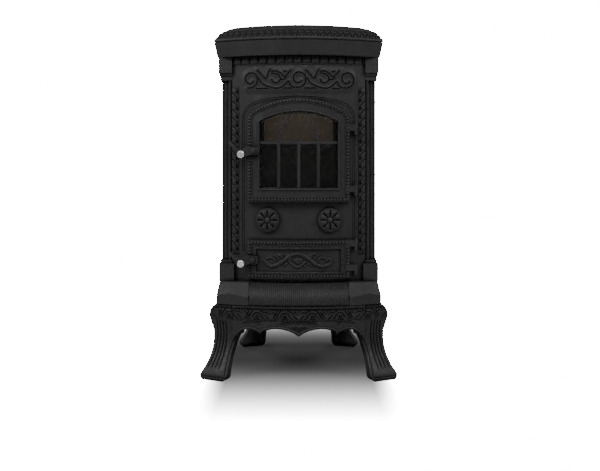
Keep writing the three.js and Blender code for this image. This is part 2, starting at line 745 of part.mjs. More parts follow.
function windowTracery() {
  const bars = MULLIONS.map((x) => rectangle(x - 4.5, x + 4.5, WINDOW_BOTTOM - 2, TRANSOM_Z));
  bars.push(rectangle(-WINDOW_HALF_WIDTH - 1, WINDOW_HALF_WIDTH + 1, TRANSOM_Z - 4, TRANSOM_Z + 4));
  for (const side of [-1, 1]) {
    bars.push(pointedArch(side));
  }
  const flats = bars.map((shape) => onBow(shape, DOOR_INNER + 3.5, DOOR_OUTER - 1));
  const opening = facing(segmentalOutline(
    WINDOW_HALF_WIDTH + 1, WINDOW_BOTTOM - 1, WINDOW_SPRING + 1, WINDOW_APEX + 1), -300, 0);
  return union(...flats).intersect(opening);
}

// One curved bar, from an outer mullion up past the middle into the head of the window.
function pointedArch(side) {
  const radius = 118;
  const centre = [side * (radius - 54), TRANSOM_Z];
  const steps = 10;
  const last = Math.acos((radius - 54 - 14) / radius);
  const outer = [];
  const inner = [];
  for (let i = 0; i <= steps; i += 1) {
    const angle = last * (i / steps);
    const dx = -side * Math.cos(angle);
    const dz = Math.sin(angle);
    outer.push([centre[0] + (radius + 3.5) * dx, centre[1] + (radius + 3.5) * dz]);
    inner.push([centre[0] + (radius - 3.5) * dx, centre[1] + (radius - 3.5) * dz]);
  }
  const points = [...outer, ...inner.reverse()];
  return shapeOf(side > 0 ? points.reverse() : points);
}

function fireDoor() {
  const leaf = onBow(archOutline(
    DOOR_HALF_WIDTH, FIRE_DOOR_BOTTOM, FIRE_DOOR_SPRING, FIRE_DOOR_APEX, 35), DOOR_INNER, DOOR_OUTER);
  const opening = facing(
    segmentalOutline(WINDOW_HALF_WIDTH, WINDOW_BOTTOM, WINDOW_SPRING, WINDOW_APEX), -300, 0);
  const rebate = onBow(segmentalOutline(
    WINDOW_HALF_WIDTH + 10, WINDOW_BOTTOM - 10, WINDOW_SPRING + 10, WINDOW_APEX + 10),
  DOOR_INNER - 2, DOOR_INNER + 3.2);
  const eyes = FIRE_HINGE_HEIGHTS.map((height) => doorEye(height));
  const bores = FIRE_HINGE_HEIGHTS.map((height) => pinBore(height));
  const body = union(cut(leaf, opening, rebate), windowTracery(), ...eyes);
  const boss = latchFrame(shifted(rod(11, 8, 16), 0, 0, 0), LATCHES.fire, 5);
  return cut(union(body, boss), ...bores, latchBore(LATCHES.fire));
}

function ashDoor() {
  const leaf = onBow(rectangle(-DOOR_HALF_WIDTH, DOOR_HALF_WIDTH, ASH_DOOR_BOTTOM, ASH_DOOR_TOP),
    DOOR_INNER, DOOR_OUTER);
  const panel = onBow(rectangle(-119, 118, 293, 355), DOOR_OUTER - 3, DOOR_OUTER + 5);
  const eyes = ASH_HINGE_HEIGHTS.map((height) => doorEye(height));
  const bores = ASH_HINGE_HEIGHTS.map((height) => pinBore(height));
  const boss = latchFrame(shifted(rod(11, 8, 16), 0, 0, 0), LATCHES.ash, 5);
  return cut(union(cut(leaf, panel), ...eyes, boss), ...bores, latchBore(LATCHES.ash));
}

function doorGlass() {
  return onBow(segmentalOutline(
    WINDOW_HALF_WIDTH + 9, WINDOW_BOTTOM - 9, WINDOW_SPRING + 9, WINDOW_APEX + 9),
  DOOR_INNER - 1.3, DOOR_INNER + 2.9);
}

function glassRetainer() {
  const outer = onBow(segmentalOutline(
    WINDOW_HALF_WIDTH + 11, WINDOW_BOTTOM - 11, WINDOW_SPRING + 11, WINDOW_APEX + 11),
  DOOR_INNER - 4.6, DOOR_INNER - 1.6);
  const inner = facing(segmentalOutline(
    WINDOW_HALF_WIDTH - 2, WINDOW_BOTTOM + 2, WINDOW_SPRING - 2, WINDOW_APEX - 2), -300, 0);
  return cut(outer, inner);
}

function fireGasket() {
  const spring = FIRE_DOOR_SPRING;
  const outer = archOutline(138, 495, spring, 772, 32);
  const inner = archOutline(131, 502, spring, 764, 27);
  return cut(onBow(outer, BOW_RADIUS + GAP, DOOR_INNER - GAP), facing(inner, -300, 0));
}

function ashGasket() {
  const outer = onBow(rectangle(-134, 134, 277, 375), BOW_RADIUS + GAP, DOOR_INNER - GAP);
  return cut(outer, facing(rectangle(-126, 126, 283, 369), -300, 0));
}

// ---------------------------------------------------------------- latches
// Latch frame: x to the right along the lever, z up, y = 0 on the back face of the lever at its pivot.
function latchMatrix({ pivot }) {
  return new THREE.Matrix4().makeTranslation(pivot[0], LATCH_PLANE_Y, pivot[1])
    .multiply(new THREE.Matrix4().makeRotationZ(-LATCH_TILT * RAD));
}

// Places a solid built about Z on the pivot's axis, pushed back by depth.
function latchFrame(body, latch, depth) {
  const matrix = latchMatrix(latch)
    .multiply(new THREE.Matrix4().makeTranslation(0, depth, 0))
    .multiply(new THREE.Matrix4().makeRotationX(Math.PI / 2));
  return moved(body, matrix);
}

function latchBore(latch) {
  return latchFrame(rod(4 + GAP, 60, 16), latch, 0);
}

// The stud stands square to the lever, so that its head holds the lever all round.
function studOffset({ pivot, stud }) {
  return [(stud[0] - pivot[0]) / Math.cos(LATCH_TILT * RAD), stud[1] - pivot[1]];
}

function catchStud(latch) {
  const [dx, dz] = studOffset(latch);
  const profile = [
    [0, -24], [4, -24], [4, LATCH_THICKNESS + GAP], [STUD_HEAD_RADIUS, LATCH_THICKNESS + GAP],
    [STUD_HEAD_RADIUS, LATCH_THICKNESS + 4], [8.5, LATCH_THICKNESS + 5.5], [0, LATCH_THICKNESS + 5.5],
  ];
  const body = turned(profile, 24);
  const matrix = latchMatrix(latch)
    .multiply(new THREE.Matrix4().makeTranslation(dx, 0, dz))
    .multiply(new THREE.Matrix4().makeRotationX(Math.PI / 2));
  const stud = moved(body, matrix);
  return cut(stud, band(BOW_RADIUS - 60, BOW_RADIUS + GAP, -200, -120, 0, HEIGHT));
}

function latchLever(latch) {
  const [studX, studZ] = studOffset(latch);
  const tailX = (latch.tip[0] - latch.pivot[0]) / Math.cos(LATCH_TILT * RAD);
  const tailZ = latch.tip[1] - latch.pivot[1];
  const lever = new THREE.Shape();
  lever.moveTo(13, -10);
  lever.lineTo(16, 0);
  lever.lineTo(13, 11);
  lever.lineTo(-20, 13);
  lever.lineTo(studX, studZ + 13);
  lever.quadraticCurveTo(studX - 14, studZ + 12, tailX + 4, tailZ + 3);
  lever.quadraticCurveTo(tailX - 1, tailZ + 5, tailX - 4, tailZ);
  lever.quadraticCurveTo(studX - 20, studZ + 10, studX - 9, studZ + 5);
  lever.lineTo(studX - 9, studZ - 7);
  lever.lineTo(studX - 5, studZ - 8);
  lever.lineTo(studX - 4.4, studZ);
  lever.absarc(studX, studZ, 4.4, Math.PI, 0, true);
  lever.lineTo(studX + 10.5, studZ - 9);
  lever.lineTo(-16, -12);
  const flat = facing(lever, -LATCH_THICKNESS, 0, 6);
  const hub = shifted(rod(10, LATCH_THICKNESS + 3, 6), 0, 0, 0);
  const raised = moved(hub, new THREE.Matrix4().makeTranslation(0, -LATCH_THICKNESS / 2 - 1.5, 0)
    .multiply(new THREE.Matrix4().makeRotationX(Math.PI / 2)));
  const body = moved(union(flat, raised), latchMatrix(latch));
  return cut(body, latchBore(latch));
}

function latchPin(latch) {
  const profile = [
    [0, -9], [4, -9], [4, LATCH_THICKNESS + 3 + GAP], [7, LATCH_THICKNESS + 3 + GAP],
    [6, LATCH_THICKNESS + 6], [0, LATCH_THICKNESS + 6.5],
  ];
  return latchFrame(turned(profile, 16), latch, 0);
}

// ---------------------------------------------------------------- ash pan
const PAN = { halfWidth: 85, front: -140, back: 118, bottom: 286.3, top: 350, wall: 2 };

function ashPan() {
  const { halfWidth, front, back, bottom, top, wall } = PAN;
  const outer = box(-halfWidth, halfWidth, front, back, bottom, top);
  const inner = box(-halfWidth + wall, halfWidth - wall, front + wall, back - wall, bottom + wall, top + 10);
  return cut(outer, inner);
}

function panHandle() {
  const y = PAN.front - GAP;
  const arc3 = new THREE.CatmullRomCurve3([
    new THREE.Vector3(-32, y, 322), new THREE.Vector3(-31, y - 9, 322), new THREE.Vector3(-22, y - 13, 321),
    new THREE.Vector3(0, y - 14, 320), new THREE.Vector3(22, y - 13, 321), new THREE.Vector3(31, y - 9, 322),
    new THREE.Vector3(32, y, 322),
  ]);
  const section = new THREE.Shape();
  section.absarc(0, 0, 3, 0, 2 * Math.PI, false);
  const geometry = new THREE.ExtrudeGeometry(section, {
    steps: 18, curveSegments: 4, extrudePath: arc3, bevelEnabled: false,
  });
  return solid(geometry).intersect(box(-60, 60, -300, y, 0, HEIGHT));
}

// ---------------------------------------------------------------- assembly
const legs = addLegs();
addAprons(legs);
addPart('hearth_plinth', hearthPlinth(), 'iron');
addPart('ash_lip', ashLip(), 'iron');
addPart('base_plate', basePlate(), 'iron');
addPart('front_frame', frontFrame(), 'iron');
addPair('post', post(), 'iron');
addPair('side_panel', sidePanel(), 'iron');
addPart('back_panel', backPanel(), 'iron');
addPart('flue_collar', flueCollar(), 'iron');
addPart('cornice', cornice(), 'iron');
addPart('inner_top', innerTop(), 'iron');
addPart('top_plate', topPlate(), 'iron');

addPart('grate_frame', grateFrame(), 'iron');
addPart('grate', grate(), 'iron');
const sideBrick = lining(216, BAFFLE_Z - GRATE_FLOOR - 10 - GAP);
addPair('fire_brick', besideWall(sideBrick, SIDE_THICKNESS + 34, 16), 'brick');
addPart('fire_brick_back', shifted(lining(226, 290), 0, 158, 0), 'brick');
addPart('baffle_plate', bafflePlate(), 'iron');
addPart('log_guard', logGuard(), 'iron');
for (const [end, place] of Object.entries(TIE_RODS)) {
  addPair(`tie_rod_${end}`, tieRod(place), 'steel');
}

addPart('catch_stud_fire', catchStud(LATCHES.fire), 'steel', 1, 0.25);
addPart('catch_stud_ash', catchStud(LATCHES.ash), 'steel', 1, 0.25);
[...FIRE_HINGE_HEIGHTS, ...ASH_HINGE_HEIGHTS].forEach((height, i) => {
  const name = ['fire_upper', 'fire_lower', 'ash_upper', 'ash_lower'][i];
  addPart(`hinge_pin_${name}`, hingePin(height), 'iron');
});
for (const [name, x] of [['left', -ROSETTE_X], ['right', ROSETTE_X]]) {
  addPart(`rosette_stud_${name}`, placedOnBow(rosetteStud(), x, ROSETTE_Z, FACE_RADIUS), 'iron');
  addPart(`air_rosette_${name}`, placedOnBow(airRosette(), x, ROSETTE_Z, FACE_RADIUS), 'iron');
}

addPart('fire_door', fireDoor(), 'iron');
addPart('door_glass', doorGlass(), 'glass', 0, 0.1);
addPart('glass_retainer', glassRetainer(), 'sheet');
addPart('fire_door_gasket', fireGasket(), 'rope', 0, 0.95);
addPart('fire_latch_pin', latchPin(LATCHES.fire), 'iron');
addPart('fire_latch', latchLever(LATCHES.fire), 'iron');

addPart('ash_door', ashDoor(), 'iron');
addPart('ash_door_gasket', ashGasket(), 'rope', 0, 0.95);
addPart('ash_latch_pin', latchPin(LATCHES.ash), 'iron');
addPart('ash_latch', latchLever(LATCHES.ash), 'iron');

addPart('ash_pan', ashPan(), 'sheet');
addPart('ash_pan_handle', panHandle(), 'sheet');

export default stove;
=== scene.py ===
"""Looks of a cast-iron wood stove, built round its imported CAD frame."""

import math

import bmesh
import bpy
import numpy as np
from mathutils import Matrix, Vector


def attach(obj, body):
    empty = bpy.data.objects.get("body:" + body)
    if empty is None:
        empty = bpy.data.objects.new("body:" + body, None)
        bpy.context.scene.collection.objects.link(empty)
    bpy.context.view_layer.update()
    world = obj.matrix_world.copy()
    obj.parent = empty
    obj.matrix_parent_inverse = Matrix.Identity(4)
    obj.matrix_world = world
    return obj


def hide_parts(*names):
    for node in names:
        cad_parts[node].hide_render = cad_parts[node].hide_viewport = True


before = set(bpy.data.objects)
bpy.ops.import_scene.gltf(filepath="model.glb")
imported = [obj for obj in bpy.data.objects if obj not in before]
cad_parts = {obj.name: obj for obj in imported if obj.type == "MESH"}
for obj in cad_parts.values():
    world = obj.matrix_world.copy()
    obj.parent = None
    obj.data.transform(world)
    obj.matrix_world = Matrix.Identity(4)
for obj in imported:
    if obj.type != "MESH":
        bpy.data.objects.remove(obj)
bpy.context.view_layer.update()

# The stove's lengths are in millimetres until a mesh is made; camera, floor and lights are in metres.
MM = 0.001
BOW_CENTRE_Y = 322.0
FRONT_RADIUS = 500.0
DOOR_RADIUS = 514.0
PANEL_RADIUS = 511.0
BASE_CENTRE_Y = 350.0
BASE_RADIUS = 585.0
APRON_RADIUS = 579.0
# Heights of ornament over the surface that carries it.
BURIED = -0.8  # plain ground, and the root of a moulding
STUD_ROOT = -0.6
GROOVE_FLOOR = 0.12


# ---- camera, floor and lights
CAMERA_DISTANCE = 2.24
CAMERA_HEIGHT = 0.564
BACKDROP = 40.0  # how brightly the white sweep shows behind the stove
AMBIENT = 0.07  # how brightly it lights the stove


def placed(name, data):
    """A new object of the scene."""
    made = bpy.data.objects.new(name, data)
    bpy.context.scene.collection.objects.link(made)
    return made


def fill(node, values):
    """Sets inputs of a node by their names."""
    for name, value in values.items():
        node.inputs[name].default_value = value


def add_camera():
    """Level and square on to the front, shifted so that the stove sits in the middle of the picture."""
    camera = bpy.data.cameras.new("camera")
    camera.sensor_width = 36.0
    camera.lens = 43.98
    camera.shift_x = 0.0022
    camera.shift_y = -0.1008
    camera.clip_end = 50.0
    holder = placed("camera", camera)
    holder.location = (0.0, -CAMERA_DISTANCE, CAMERA_HEIGHT)
    holder.rotation_euler = (math.pi / 2, 0.0, 0.0)
    bpy.context.scene.camera = holder


def add_light(name, place, aim, size, power):
    """A soft rectangular lamp that the camera doesn't see."""
    lamp = bpy.data.lights.new(name, "AREA")
    lamp.shape = "RECTANGLE"
    lamp.size, lamp.size_y = size
    lamp.energy = power
    holder = placed(name, lamp)
    holder.location = place
    holder.rotation_euler = (Vector(aim) - Vector(place)).to_track_quat("-Z", "Y").to_euler()
    holder.visible_camera = False
    holder.visible_transmission = False


def add_world():
    """An even white room: what lights the stove is dimmer than what shows behind it."""
    world = bpy.data.worlds.new("studio")
    world.use_nodes = True
    tree = world.node_tree
    path = tree.nodes.new("ShaderNodeLightPath")
    choose = tree.nodes.new("ShaderNodeMixShader")
    tree.links.new(path.outputs["Is Camera Ray"], choose.inputs["Fac"])
    rooms = (tree.nodes["Background"], tree.nodes.new("ShaderNodeBackground"))
    for room, strength, socket in zip(rooms, (AMBIENT, BACKDROP), choose.inputs[1:]):
        fill(room, {"Color": (1.0, 1.0, 1.0, 1.0), "Strength": strength})
        tree.links.new(room.outputs["Background"], socket)
    tree.links.new(choose.outputs["Shader"], tree.nodes["World Output"].inputs["Surface"])
    bpy.context.scene.world = world


def add_studio():
    """Two keys and a soft lamp from above, small ones for brow and kerb, two behind, one in the fire."""
    add_world()
    add_light("key_left", (-2.7, -1.1, 2.5), (0.0, 0.0, 0.6), (1.2, 1.2), 62.0)
    add_light("key_right", (2.7, -1.1, 2.5), (0.0, 0.0, 0.6), (1.2, 1.2), 48.0)
    add_light("overhead", (0.0, -1.6, 2.6), (0.0, 0.0, 0.5), (1.6, 1.0), 18.0)
    add_light("brow", (0.0, -1.1, 1.55), (0.0, -0.2, 0.84), (1.0, 0.25), 4.3)
    add_light("kerb", (0.0, -0.8, 0.1), (0.0, -0.24, 0.18), (0.9, 0.1), 0.42)
    add_light("back_left", (-1.8, 2.4, 1.9), (0.0, 0.1, 0.5), (1.2, 1.2), 30.0)
    add_light("back_right", (1.8, 2.4, 1.9), (0.0, 0.1, 0.5), (1.2, 1.2), 30.0)
    add_light("fire_glow", (0.0, -0.118, 0.79), (0.0, 0.1, 0.62), (0.2, 0.03), 0.025)
    mesh = bpy.data.meshes.new("floor")
    reach = 30.0
    corners = [(-reach, -reach, 0.0), (reach, -reach, 0.0), (reach, reach, 0.0), (-reach, reach, 0.0)]
    mesh.from_pydata(corners, [], [(0, 1, 2, 3)])
    floor = placed("floor", mesh)
    floor.data.materials.append(floor_finish())


# ---- materials
class Finish:
    """A procedural material whose textures are laid in object space."""

    def __init__(self, name, **values):
        self.material = bpy.data.materials.new(name)
        self.material.use_nodes = True
        self.tree = self.material.node_tree
        self.shader = self.tree.nodes["Principled BSDF"]
        self.place = self.node("ShaderNodeTexCoord").outputs["Object"]
        fill(self.shader, {key.replace("_", " "): value for key, value in values.items()})

    def node(self, kind, **settings):
        made = self.tree.nodes.new(kind)
        for name, value in settings.items():
            setattr(made, name, value)
        return made

    def link(self, source, target):
        self.tree.links.new(source, target)

    def stretched(self, scale):
        made = self.node("ShaderNodeMapping")
        made.inputs["Scale"].default_value = scale
        self.link(self.place, made.inputs["Vector"])
        return made.outputs["Vector"]

    def noise(self, scale, detail=4.0, roughness=0.55, vector=None):
        made = self.node("ShaderNodeTexNoise")
        fill(made, {"Scale": scale, "Detail": detail, "Roughness": roughness})
        self.link(vector or self.place, made.inputs["Vector"])
        return made.outputs["Fac"]

    def spread(self, value, low, high, new_low, new_high):
        made = self.node("ShaderNodeMapRange")
        fill(made, {"From Min": low, "From Max": high, "To Min": new_low, "To Max": new_high})
        self.link(value, made.inputs["Value"])
        return made.outputs["Result"]

    def mix(self, factor, first, second):
        made = self.node("ShaderNodeMix", data_type="RGBA")
        self.link(factor, made.inputs["Factor"])
        for name, colour in (("A", first), ("B", second)):
            if isinstance(colour, tuple):
                made.inputs[name].default_value = (*colour, 1.0)
            else:
                self.link(colour, made.inputs[name])
        return made.outputs["Result"]

    def math(self, operation, first, second):
        made = self.node("ShaderNodeMath", operation=operation)
        for socket, value in zip(made.inputs, (first, second)):
            if isinstance(value, (int, float)):
                socket.default_value = value
            else:
                self.link(value, socket)
        return made.outputs["Value"]

    def colour(self, source):
        self.link(source, self.shader.inputs["Base Color"])

    def roughness(self, source):
        self.link(source, self.shader.inputs["Roughness"])

    def bump(self, height, strength, distance):
        made = self.node("ShaderNodeBump")
        fill(made, {"Strength": strength, "Distance": distance})
        self.link(height, made.inputs["Height"])
        self.link(made.outputs["Normal"], self.shader.inputs["Normal"])

    def edge_share(self, low, high):
        """0 in hollows to 1 on raised edges, from the shape itself."""
        return self.spread(self.node("ShaderNodeNewGeometry").outputs["Pointiness"], low, high, 0.0, 1.0)


def floor_finish():
    """A pale floor with a painted shadow under the stove, that goes over into the white sweep away from it.
    """
    finish = Finish("floor", Roughness=0.9, Specular_IOR_Level=0.0)
    split = finish.node("ShaderNodeSeparateXYZ")
    finish.link(finish.place, split.inputs["Vector"])

    def fall(axis, centre, near, far, value):
        """A value inside the near distance from the centre that falls to nothing at the far one."""
        away = finish.math("ABSOLUTE", finish.math("SUBTRACT", split.outputs[axis], centre), 0.0)
        return finish.spread(away, near, far, value, 0.0)

    # Painted shadow: deepest near the middle under the stove and fading over 0.73 m, held between the legs
    # across and cut off behind the stove.
    painted_shadow_reach = finish.math("MULTIPLY", fall("X", 0.0, 0.2, 0.27, 1.0), fall("Y", -0.4, 0.82, 0.97, 1.0))
    shade = finish.math("MULTIPLY", fall("Y", 0.09, 0.09, 0.73, 3.35), painted_shadow_reach)
    # The floor's colour darkens from 0.6 to 0.06 in the painted shadow.
    finish.colour(finish.spread(shade, 0.0, 1.0, 0.6, 0.06))
    sweep = finish.node("ShaderNodeEmission")
    sweep.inputs["Strength"].default_value = BACKDROP
    camera_ray = finish.node("ShaderNodeLightPath").outputs["Is Camera Ray"]
    choose = finish.node("ShaderNodeMixShader")
    # To the camera the floor is the white sweep, except where the painted shadow lets the darkened floor
    # show.
    finish.link(finish.math("MULTIPLY", finish.math("POWER", 0.1, shade), camera_ray), choose.inputs["Fac"])
    finish.link(finish.shader.outputs["BSDF"], choose.inputs[1])
    finish.link(sweep.outputs["Emission"], choose.inputs[2])
    finish.link(choose.outputs["Shader"], finish.tree.nodes["Material Output"].inputs["Surface"])
    return finish.material


def cast_iron_finish(name, dark, light, edge, painted_shade):
    """Matte black stove paint on sand-cast iron, with painted shade that turns it black in hollows and cut
    lines, and a painted highlight that turns raised edges greyer.
    """
    finish = Finish(name, Metallic=0.0, IOR=1.45, Specular_IOR_Level=0.3)
    cloud = finish.spread(finish.noise(14.0, 5.0), 0.3, 0.7, 0.0, 1.0)
    paint = finish.mix(cloud, dark, light)
    # Painted highlight: raised edges, found from the shape's pointiness, are lightened half way towards the
    # edge colour.
    painted_edge_highlight = finish.math("MULTIPLY", finish.edge_share(0.51, 0.60), 0.5)
    # Painted shade: the colour goes to the dark shade colour where ambient occlusion finds a hollow and
    # where the ornament's mesh attribute marks a cut line or low place; the same places are made rougher.
    occlusion_shade = finish.node("ShaderNodeAmbientOcclusion", samples=6)
    occlusion_shade.inputs["Distance"].default_value = 0.012
    painted_groove_shade = finish.node("ShaderNodeAttribute", attribute_name="painted_shade").outputs["Fac"]
    outside_painted_shade = finish.spread(occlusion_shade.outputs["AO"], 0.4, 0.95, 0.0, 1.0)
    outside_painted_shade = finish.math("MULTIPLY", outside_painted_shade, finish.math("SUBTRACT", 1.0, painted_groove_shade))
    finish.colour(finish.mix(outside_painted_shade, painted_shade, finish.mix(painted_edge_highlight, paint, edge)))
    polish = finish.spread(finish.noise(70.0), 0.3, 0.7, 0.42, 0.56)
    finish.roughness(finish.math("MAXIMUM", polish, finish.spread(outside_painted_shade, 0.0, 1.0, 0.95, 0.4)))
    grain = finish.noise(1100.0, 2.0, 0.6)
    lumps = finish.noise(190.0, 3.0, 0.5)
    finish.bump(finish.math("ADD", finish.math("MULTIPLY", grain, 0.4), lumps), 0.3, 0.0005)
    return finish.material


def metal_finish(name, dark, light, smooth, rough, streaks=(1.0, 1.0, 1.0), metallic=1.0):
    """Bare metal with fine working marks and a faint haze."""
    finish = Finish(name, Metallic=metallic)
    marks = finish.noise(220.0, 4.0, 0.6, finish.stretched(streaks))
    finish.colour(finish.mix(finish.spread(finish.noise(30.0), 0.3, 0.7, 0.0, 1.0), dark, light))
    finish.roughness(finish.spread(marks, 0.3, 0.7, smooth, rough))
    finish.bump(marks, 0.15, 0.0002)
    return finish.material


def brick_finish():
    """Pale fire clay with patches of soot."""
    finish = Finish("fire_brick", IOR=1.4)
    patches = finish.spread(finish.noise(18.0, 5.0), 0.3, 0.7, 0.0, 1.0)
    clay = finish.mix(patches, (0.74, 0.63, 0.5), (0.84, 0.75, 0.62))
    soot = finish.spread(finish.noise(3.5, 2.0), 0.45, 0.75, 0.0, 0.35)
    finish.colour(finish.mix(soot, clay, (0.09, 0.08, 0.07)))
    finish.roughness(finish.spread(patches, 0.0, 1.0, 0.8, 0.95))
    finish.bump(finish.noise(240.0, 4.0, 0.7), 0.4, 0.0006)
    return finish.material


def rope_finish():
    """Braided glass-fibre seal."""
    finish = Finish("seal_rope", IOR=1.45)
    weave = finish.node("ShaderNodeTexWave", wave_type="BANDS", bands_direction="DIAGONAL")
    fill(weave, {"Scale": 180.0, "Distortion": 1.5})
    finish.link(finish.place, weave.inputs["Vector"])
    finish.colour(finish.mix(weave.outputs["Fac"], (0.09, 0.085, 0.08), (0.26, 0.25, 0.23)))
    finish.roughness(finish.spread(weave.outputs["Fac"], 0.0, 1.0, 0.8, 0.95))
    finish.bump(weave.outputs["Fac"], 0.6, 0.0008)
    return finish.material


def glass_finish():
    """Heat-proof glass with a faint smoke haze."""
    finish = Finish("glass", IOR=1.5, Transmission_Weight=1.0)
    haze = finish.spread(finish.noise(4.0, 2.0), 0.3, 0.75, 0.0, 1.0)
    finish.colour(finish.mix(haze, (0.98, 0.97, 0.95), (0.93, 0.91, 0.88)))
    finish.roughness(finish.spread(haze, 0.0, 1.0, 0.0, 0.05))
    return finish.material


# In both cast iron finishes the fourth colour is the painted edge highlight and the fifth the painted shade
# of hollows and cut lines.
IRON = cast_iron_finish("cast_iron", (0.021, 0.021, 0.0215), (0.030, 0.030, 0.0305), (0.05, 0.05, 0.051),
                        (0.0008, 0.0008, 0.0008))
POLISHED = metal_finish("polished_steel", (0.86, 0.86, 0.87), (0.94, 0.94, 0.95), 0.2, 0.34, metallic=0.6)
STEEL = metal_finish("plain_steel", (0.05, 0.05, 0.052), (0.09, 0.09, 0.09), 0.42, 0.58)
SHEET = metal_finish("sheet_steel", (0.22, 0.22, 0.23), (0.34, 0.34, 0.34), 0.3, 0.46, (1.0, 1.0, 12.0))
BRICK = brick_finish()
GUARD = cast_iron_finish("guard_iron", (0.03, 0.03, 0.031), (0.032, 0.032, 0.033), (0.033, 0.033, 0.034),
                         (0.02, 0.02, 0.02))
ROPE = rope_finish()
GLASS = glass_finish()
ORNAMENT_MATERIALS = {"cast_iron": IRON, "plain_steel": STEEL}


# ---- surfaces that carry ornament
# A surface turns (across, up, out) arrays into points; across grows to the right seen from outside.
UP = np.array([0.0, 0.0, 1.0])


def bow(radius, centre_y):
    """A cylinder about an upright axis, seen from the front."""
    def place(across, up, out):
        turn = np.arcsin(across / radius)
        reach = radius + out
        return np.stack([reach * np.sin(turn), centre_y - reach * np.cos(turn), up + 0.0 * reach], -1)
    return place


def flat(origin, along, face):
    """An upright plane through an origin."""
    origin, along, face = (np.array(part, float) for part in (origin, along, face))

    def place(across, up, out):
        across, up, out = (np.asarray(part, float)[..., None] for part in (across, up, out))
        return origin + across * along + up * UP + out * face
    return place


FRONT = bow(FRONT_RADIUS, BOW_CENTRE_Y)
DOOR = bow(DOOR_RADIUS, BOW_CENTRE_Y)
PANEL = bow(PANEL_RADIUS, BOW_CENTRE_Y)
APRON = bow(APRON_RADIUS, BASE_CENTRE_Y)


# ---- lines
def smooth(path, gap=1.6):
    """A Catmull-Rom curve through the given points, sampled every gap."""
    points = np.array(path, float)
    points = np.vstack([2 * points[0] - points[1], points, 2 * points[-1] - points[-2]])
    out = []
    for before, start, end, after in zip(points, points[1:], points[2:], points[3:]):
        steps = max(1, int(np.linalg.norm(end - start) / gap))
        square = 2 * before - 5 * start + 4 * end - after
        cube = 3 * start - before - 3 * end + after
        for t in np.arange(steps) / steps:
            out.append(0.5 * (2 * start + (end - before) * t + square * t * t + cube * t ** 3))
    out.append(points[-2])
    return np.array(out)


def unit(value):
    """The value held between 0 and 1."""
    return np.clip(value, 0.0, 1.0)


def groove(gap, depth, width):
    """A soft-edged groove's depth at a distance from its line."""
    return depth * np.exp(-(gap / width) ** 2)


def run_along(path):
    """The distance from the start of a path to each of its points."""
    steps = np.linalg.norm(np.diff(np.array(path, float), axis=0), axis=1)
    return np.concatenate([[0.0], np.cumsum(steps)])


def even(path, pitch, closed):
    """Points every pitch or so along straight segments, with the direction at each."""
    points = np.array(path, float)
    if closed:
        points = np.vstack([points, points[:1]])
    run = run_along(points)
    count = max(1, round(run[-1] / pitch))
    at = (np.arange(count) + (0.0 if closed else 0.5)) * run[-1] / count
    places = np.stack([np.interp(at, run, points[:, k]) for k in range(2)], -1)
    ahead = np.stack([np.interp(at + 0.5, run, points[:, k]) for k in range(2)], -1)
    behind = np.stack([np.interp(at - 0.5, run, points[:, k]) for k in range(2)], -1)
    return places, np.arctan2(*(ahead - behind).T[::-1])


def both_halves(path):
    """A path that ends in the middle, carried on down the other side."""
    return path + [(-across, up) for across, up in reversed(path[:-1])]


def moved(paths, across, up=0.0):
    return [[(a + across, b + up) for a, b in path] for path in paths]


def flipped(paths):
    return [[(-a, b) for a, b in path] for path in paths]


def offset(path, distance, closed=False):
    """The path moved to its left by a distance."""
    points = np.array(path, float)
    if closed:
        before, after = np.roll(points, 1, axis=0), np.roll(points, -1, axis=0)
    else:
        before, after = np.vstack([points[:1], points[:-1]]), np.vstack([points[1:], points[-1:]])
    one = points - before
    two = after - points
    for step in (one, two):
        size = np.linalg.norm(step, axis=1, keepdims=True)
        size[size == 0] = 1.0
        step /= size
    if not closed:
        one[0], two[-1] = two[0], one[-1]
    normal = np.stack([-(one + two)[:, 1], (one + two)[:, 0]], -1)
    size = np.linalg.norm(normal, axis=1, keepdims=True)
    mitre = np.maximum(size / 2.0, 0.4)
    return points + normal / size * distance / mitre


# ---- meshes
def new_piece(name, points, faces, body, slot="cast_iron", painted_shade=None):
    """One closed mesh that rides on a body; its painted shade runs from 0 in the open to 1 in a recess
    painted dark.
    """
    mesh = bpy.data.meshes.new(name)
    mesh.from_pydata((np.asarray(points, float) * MM).tolist(), [], faces)
    work = bmesh.new()
    work.from_mesh(mesh)
    bmesh.ops.recalc_face_normals(work, faces=work.faces)
    work.to_mesh(mesh)
    work.free()
    mesh.polygons.foreach_set("use_smooth", [True] * len(mesh.polygons))
    # Painted shade: a per-vertex attribute by which the cast iron material darkens the colour.
    if painted_shade is not None:
        shade = mesh.attributes.new("painted_shade", "FLOAT", "POINT")
        shade.data.foreach_set("value", unit(painted_shade).astype(np.float32))
    piece = placed(name, mesh)
    mesh.materials.append(ORNAMENT_MATERIALS[slot])
    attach(piece, body)
    return piece


def ring_faces(rings, count, base=0, all_round=False):
    """Quads between rings of count points; all round also joins the last ring to the first."""
    faces = []
    for k in range(rings if all_round else rings - 1):
        low, high = base + k * count, base + (k + 1) % rings * count
        for i in range(count):
            j = (i + 1) % count
            faces.append((low + i, low + j, high + j, high + i))
    return faces


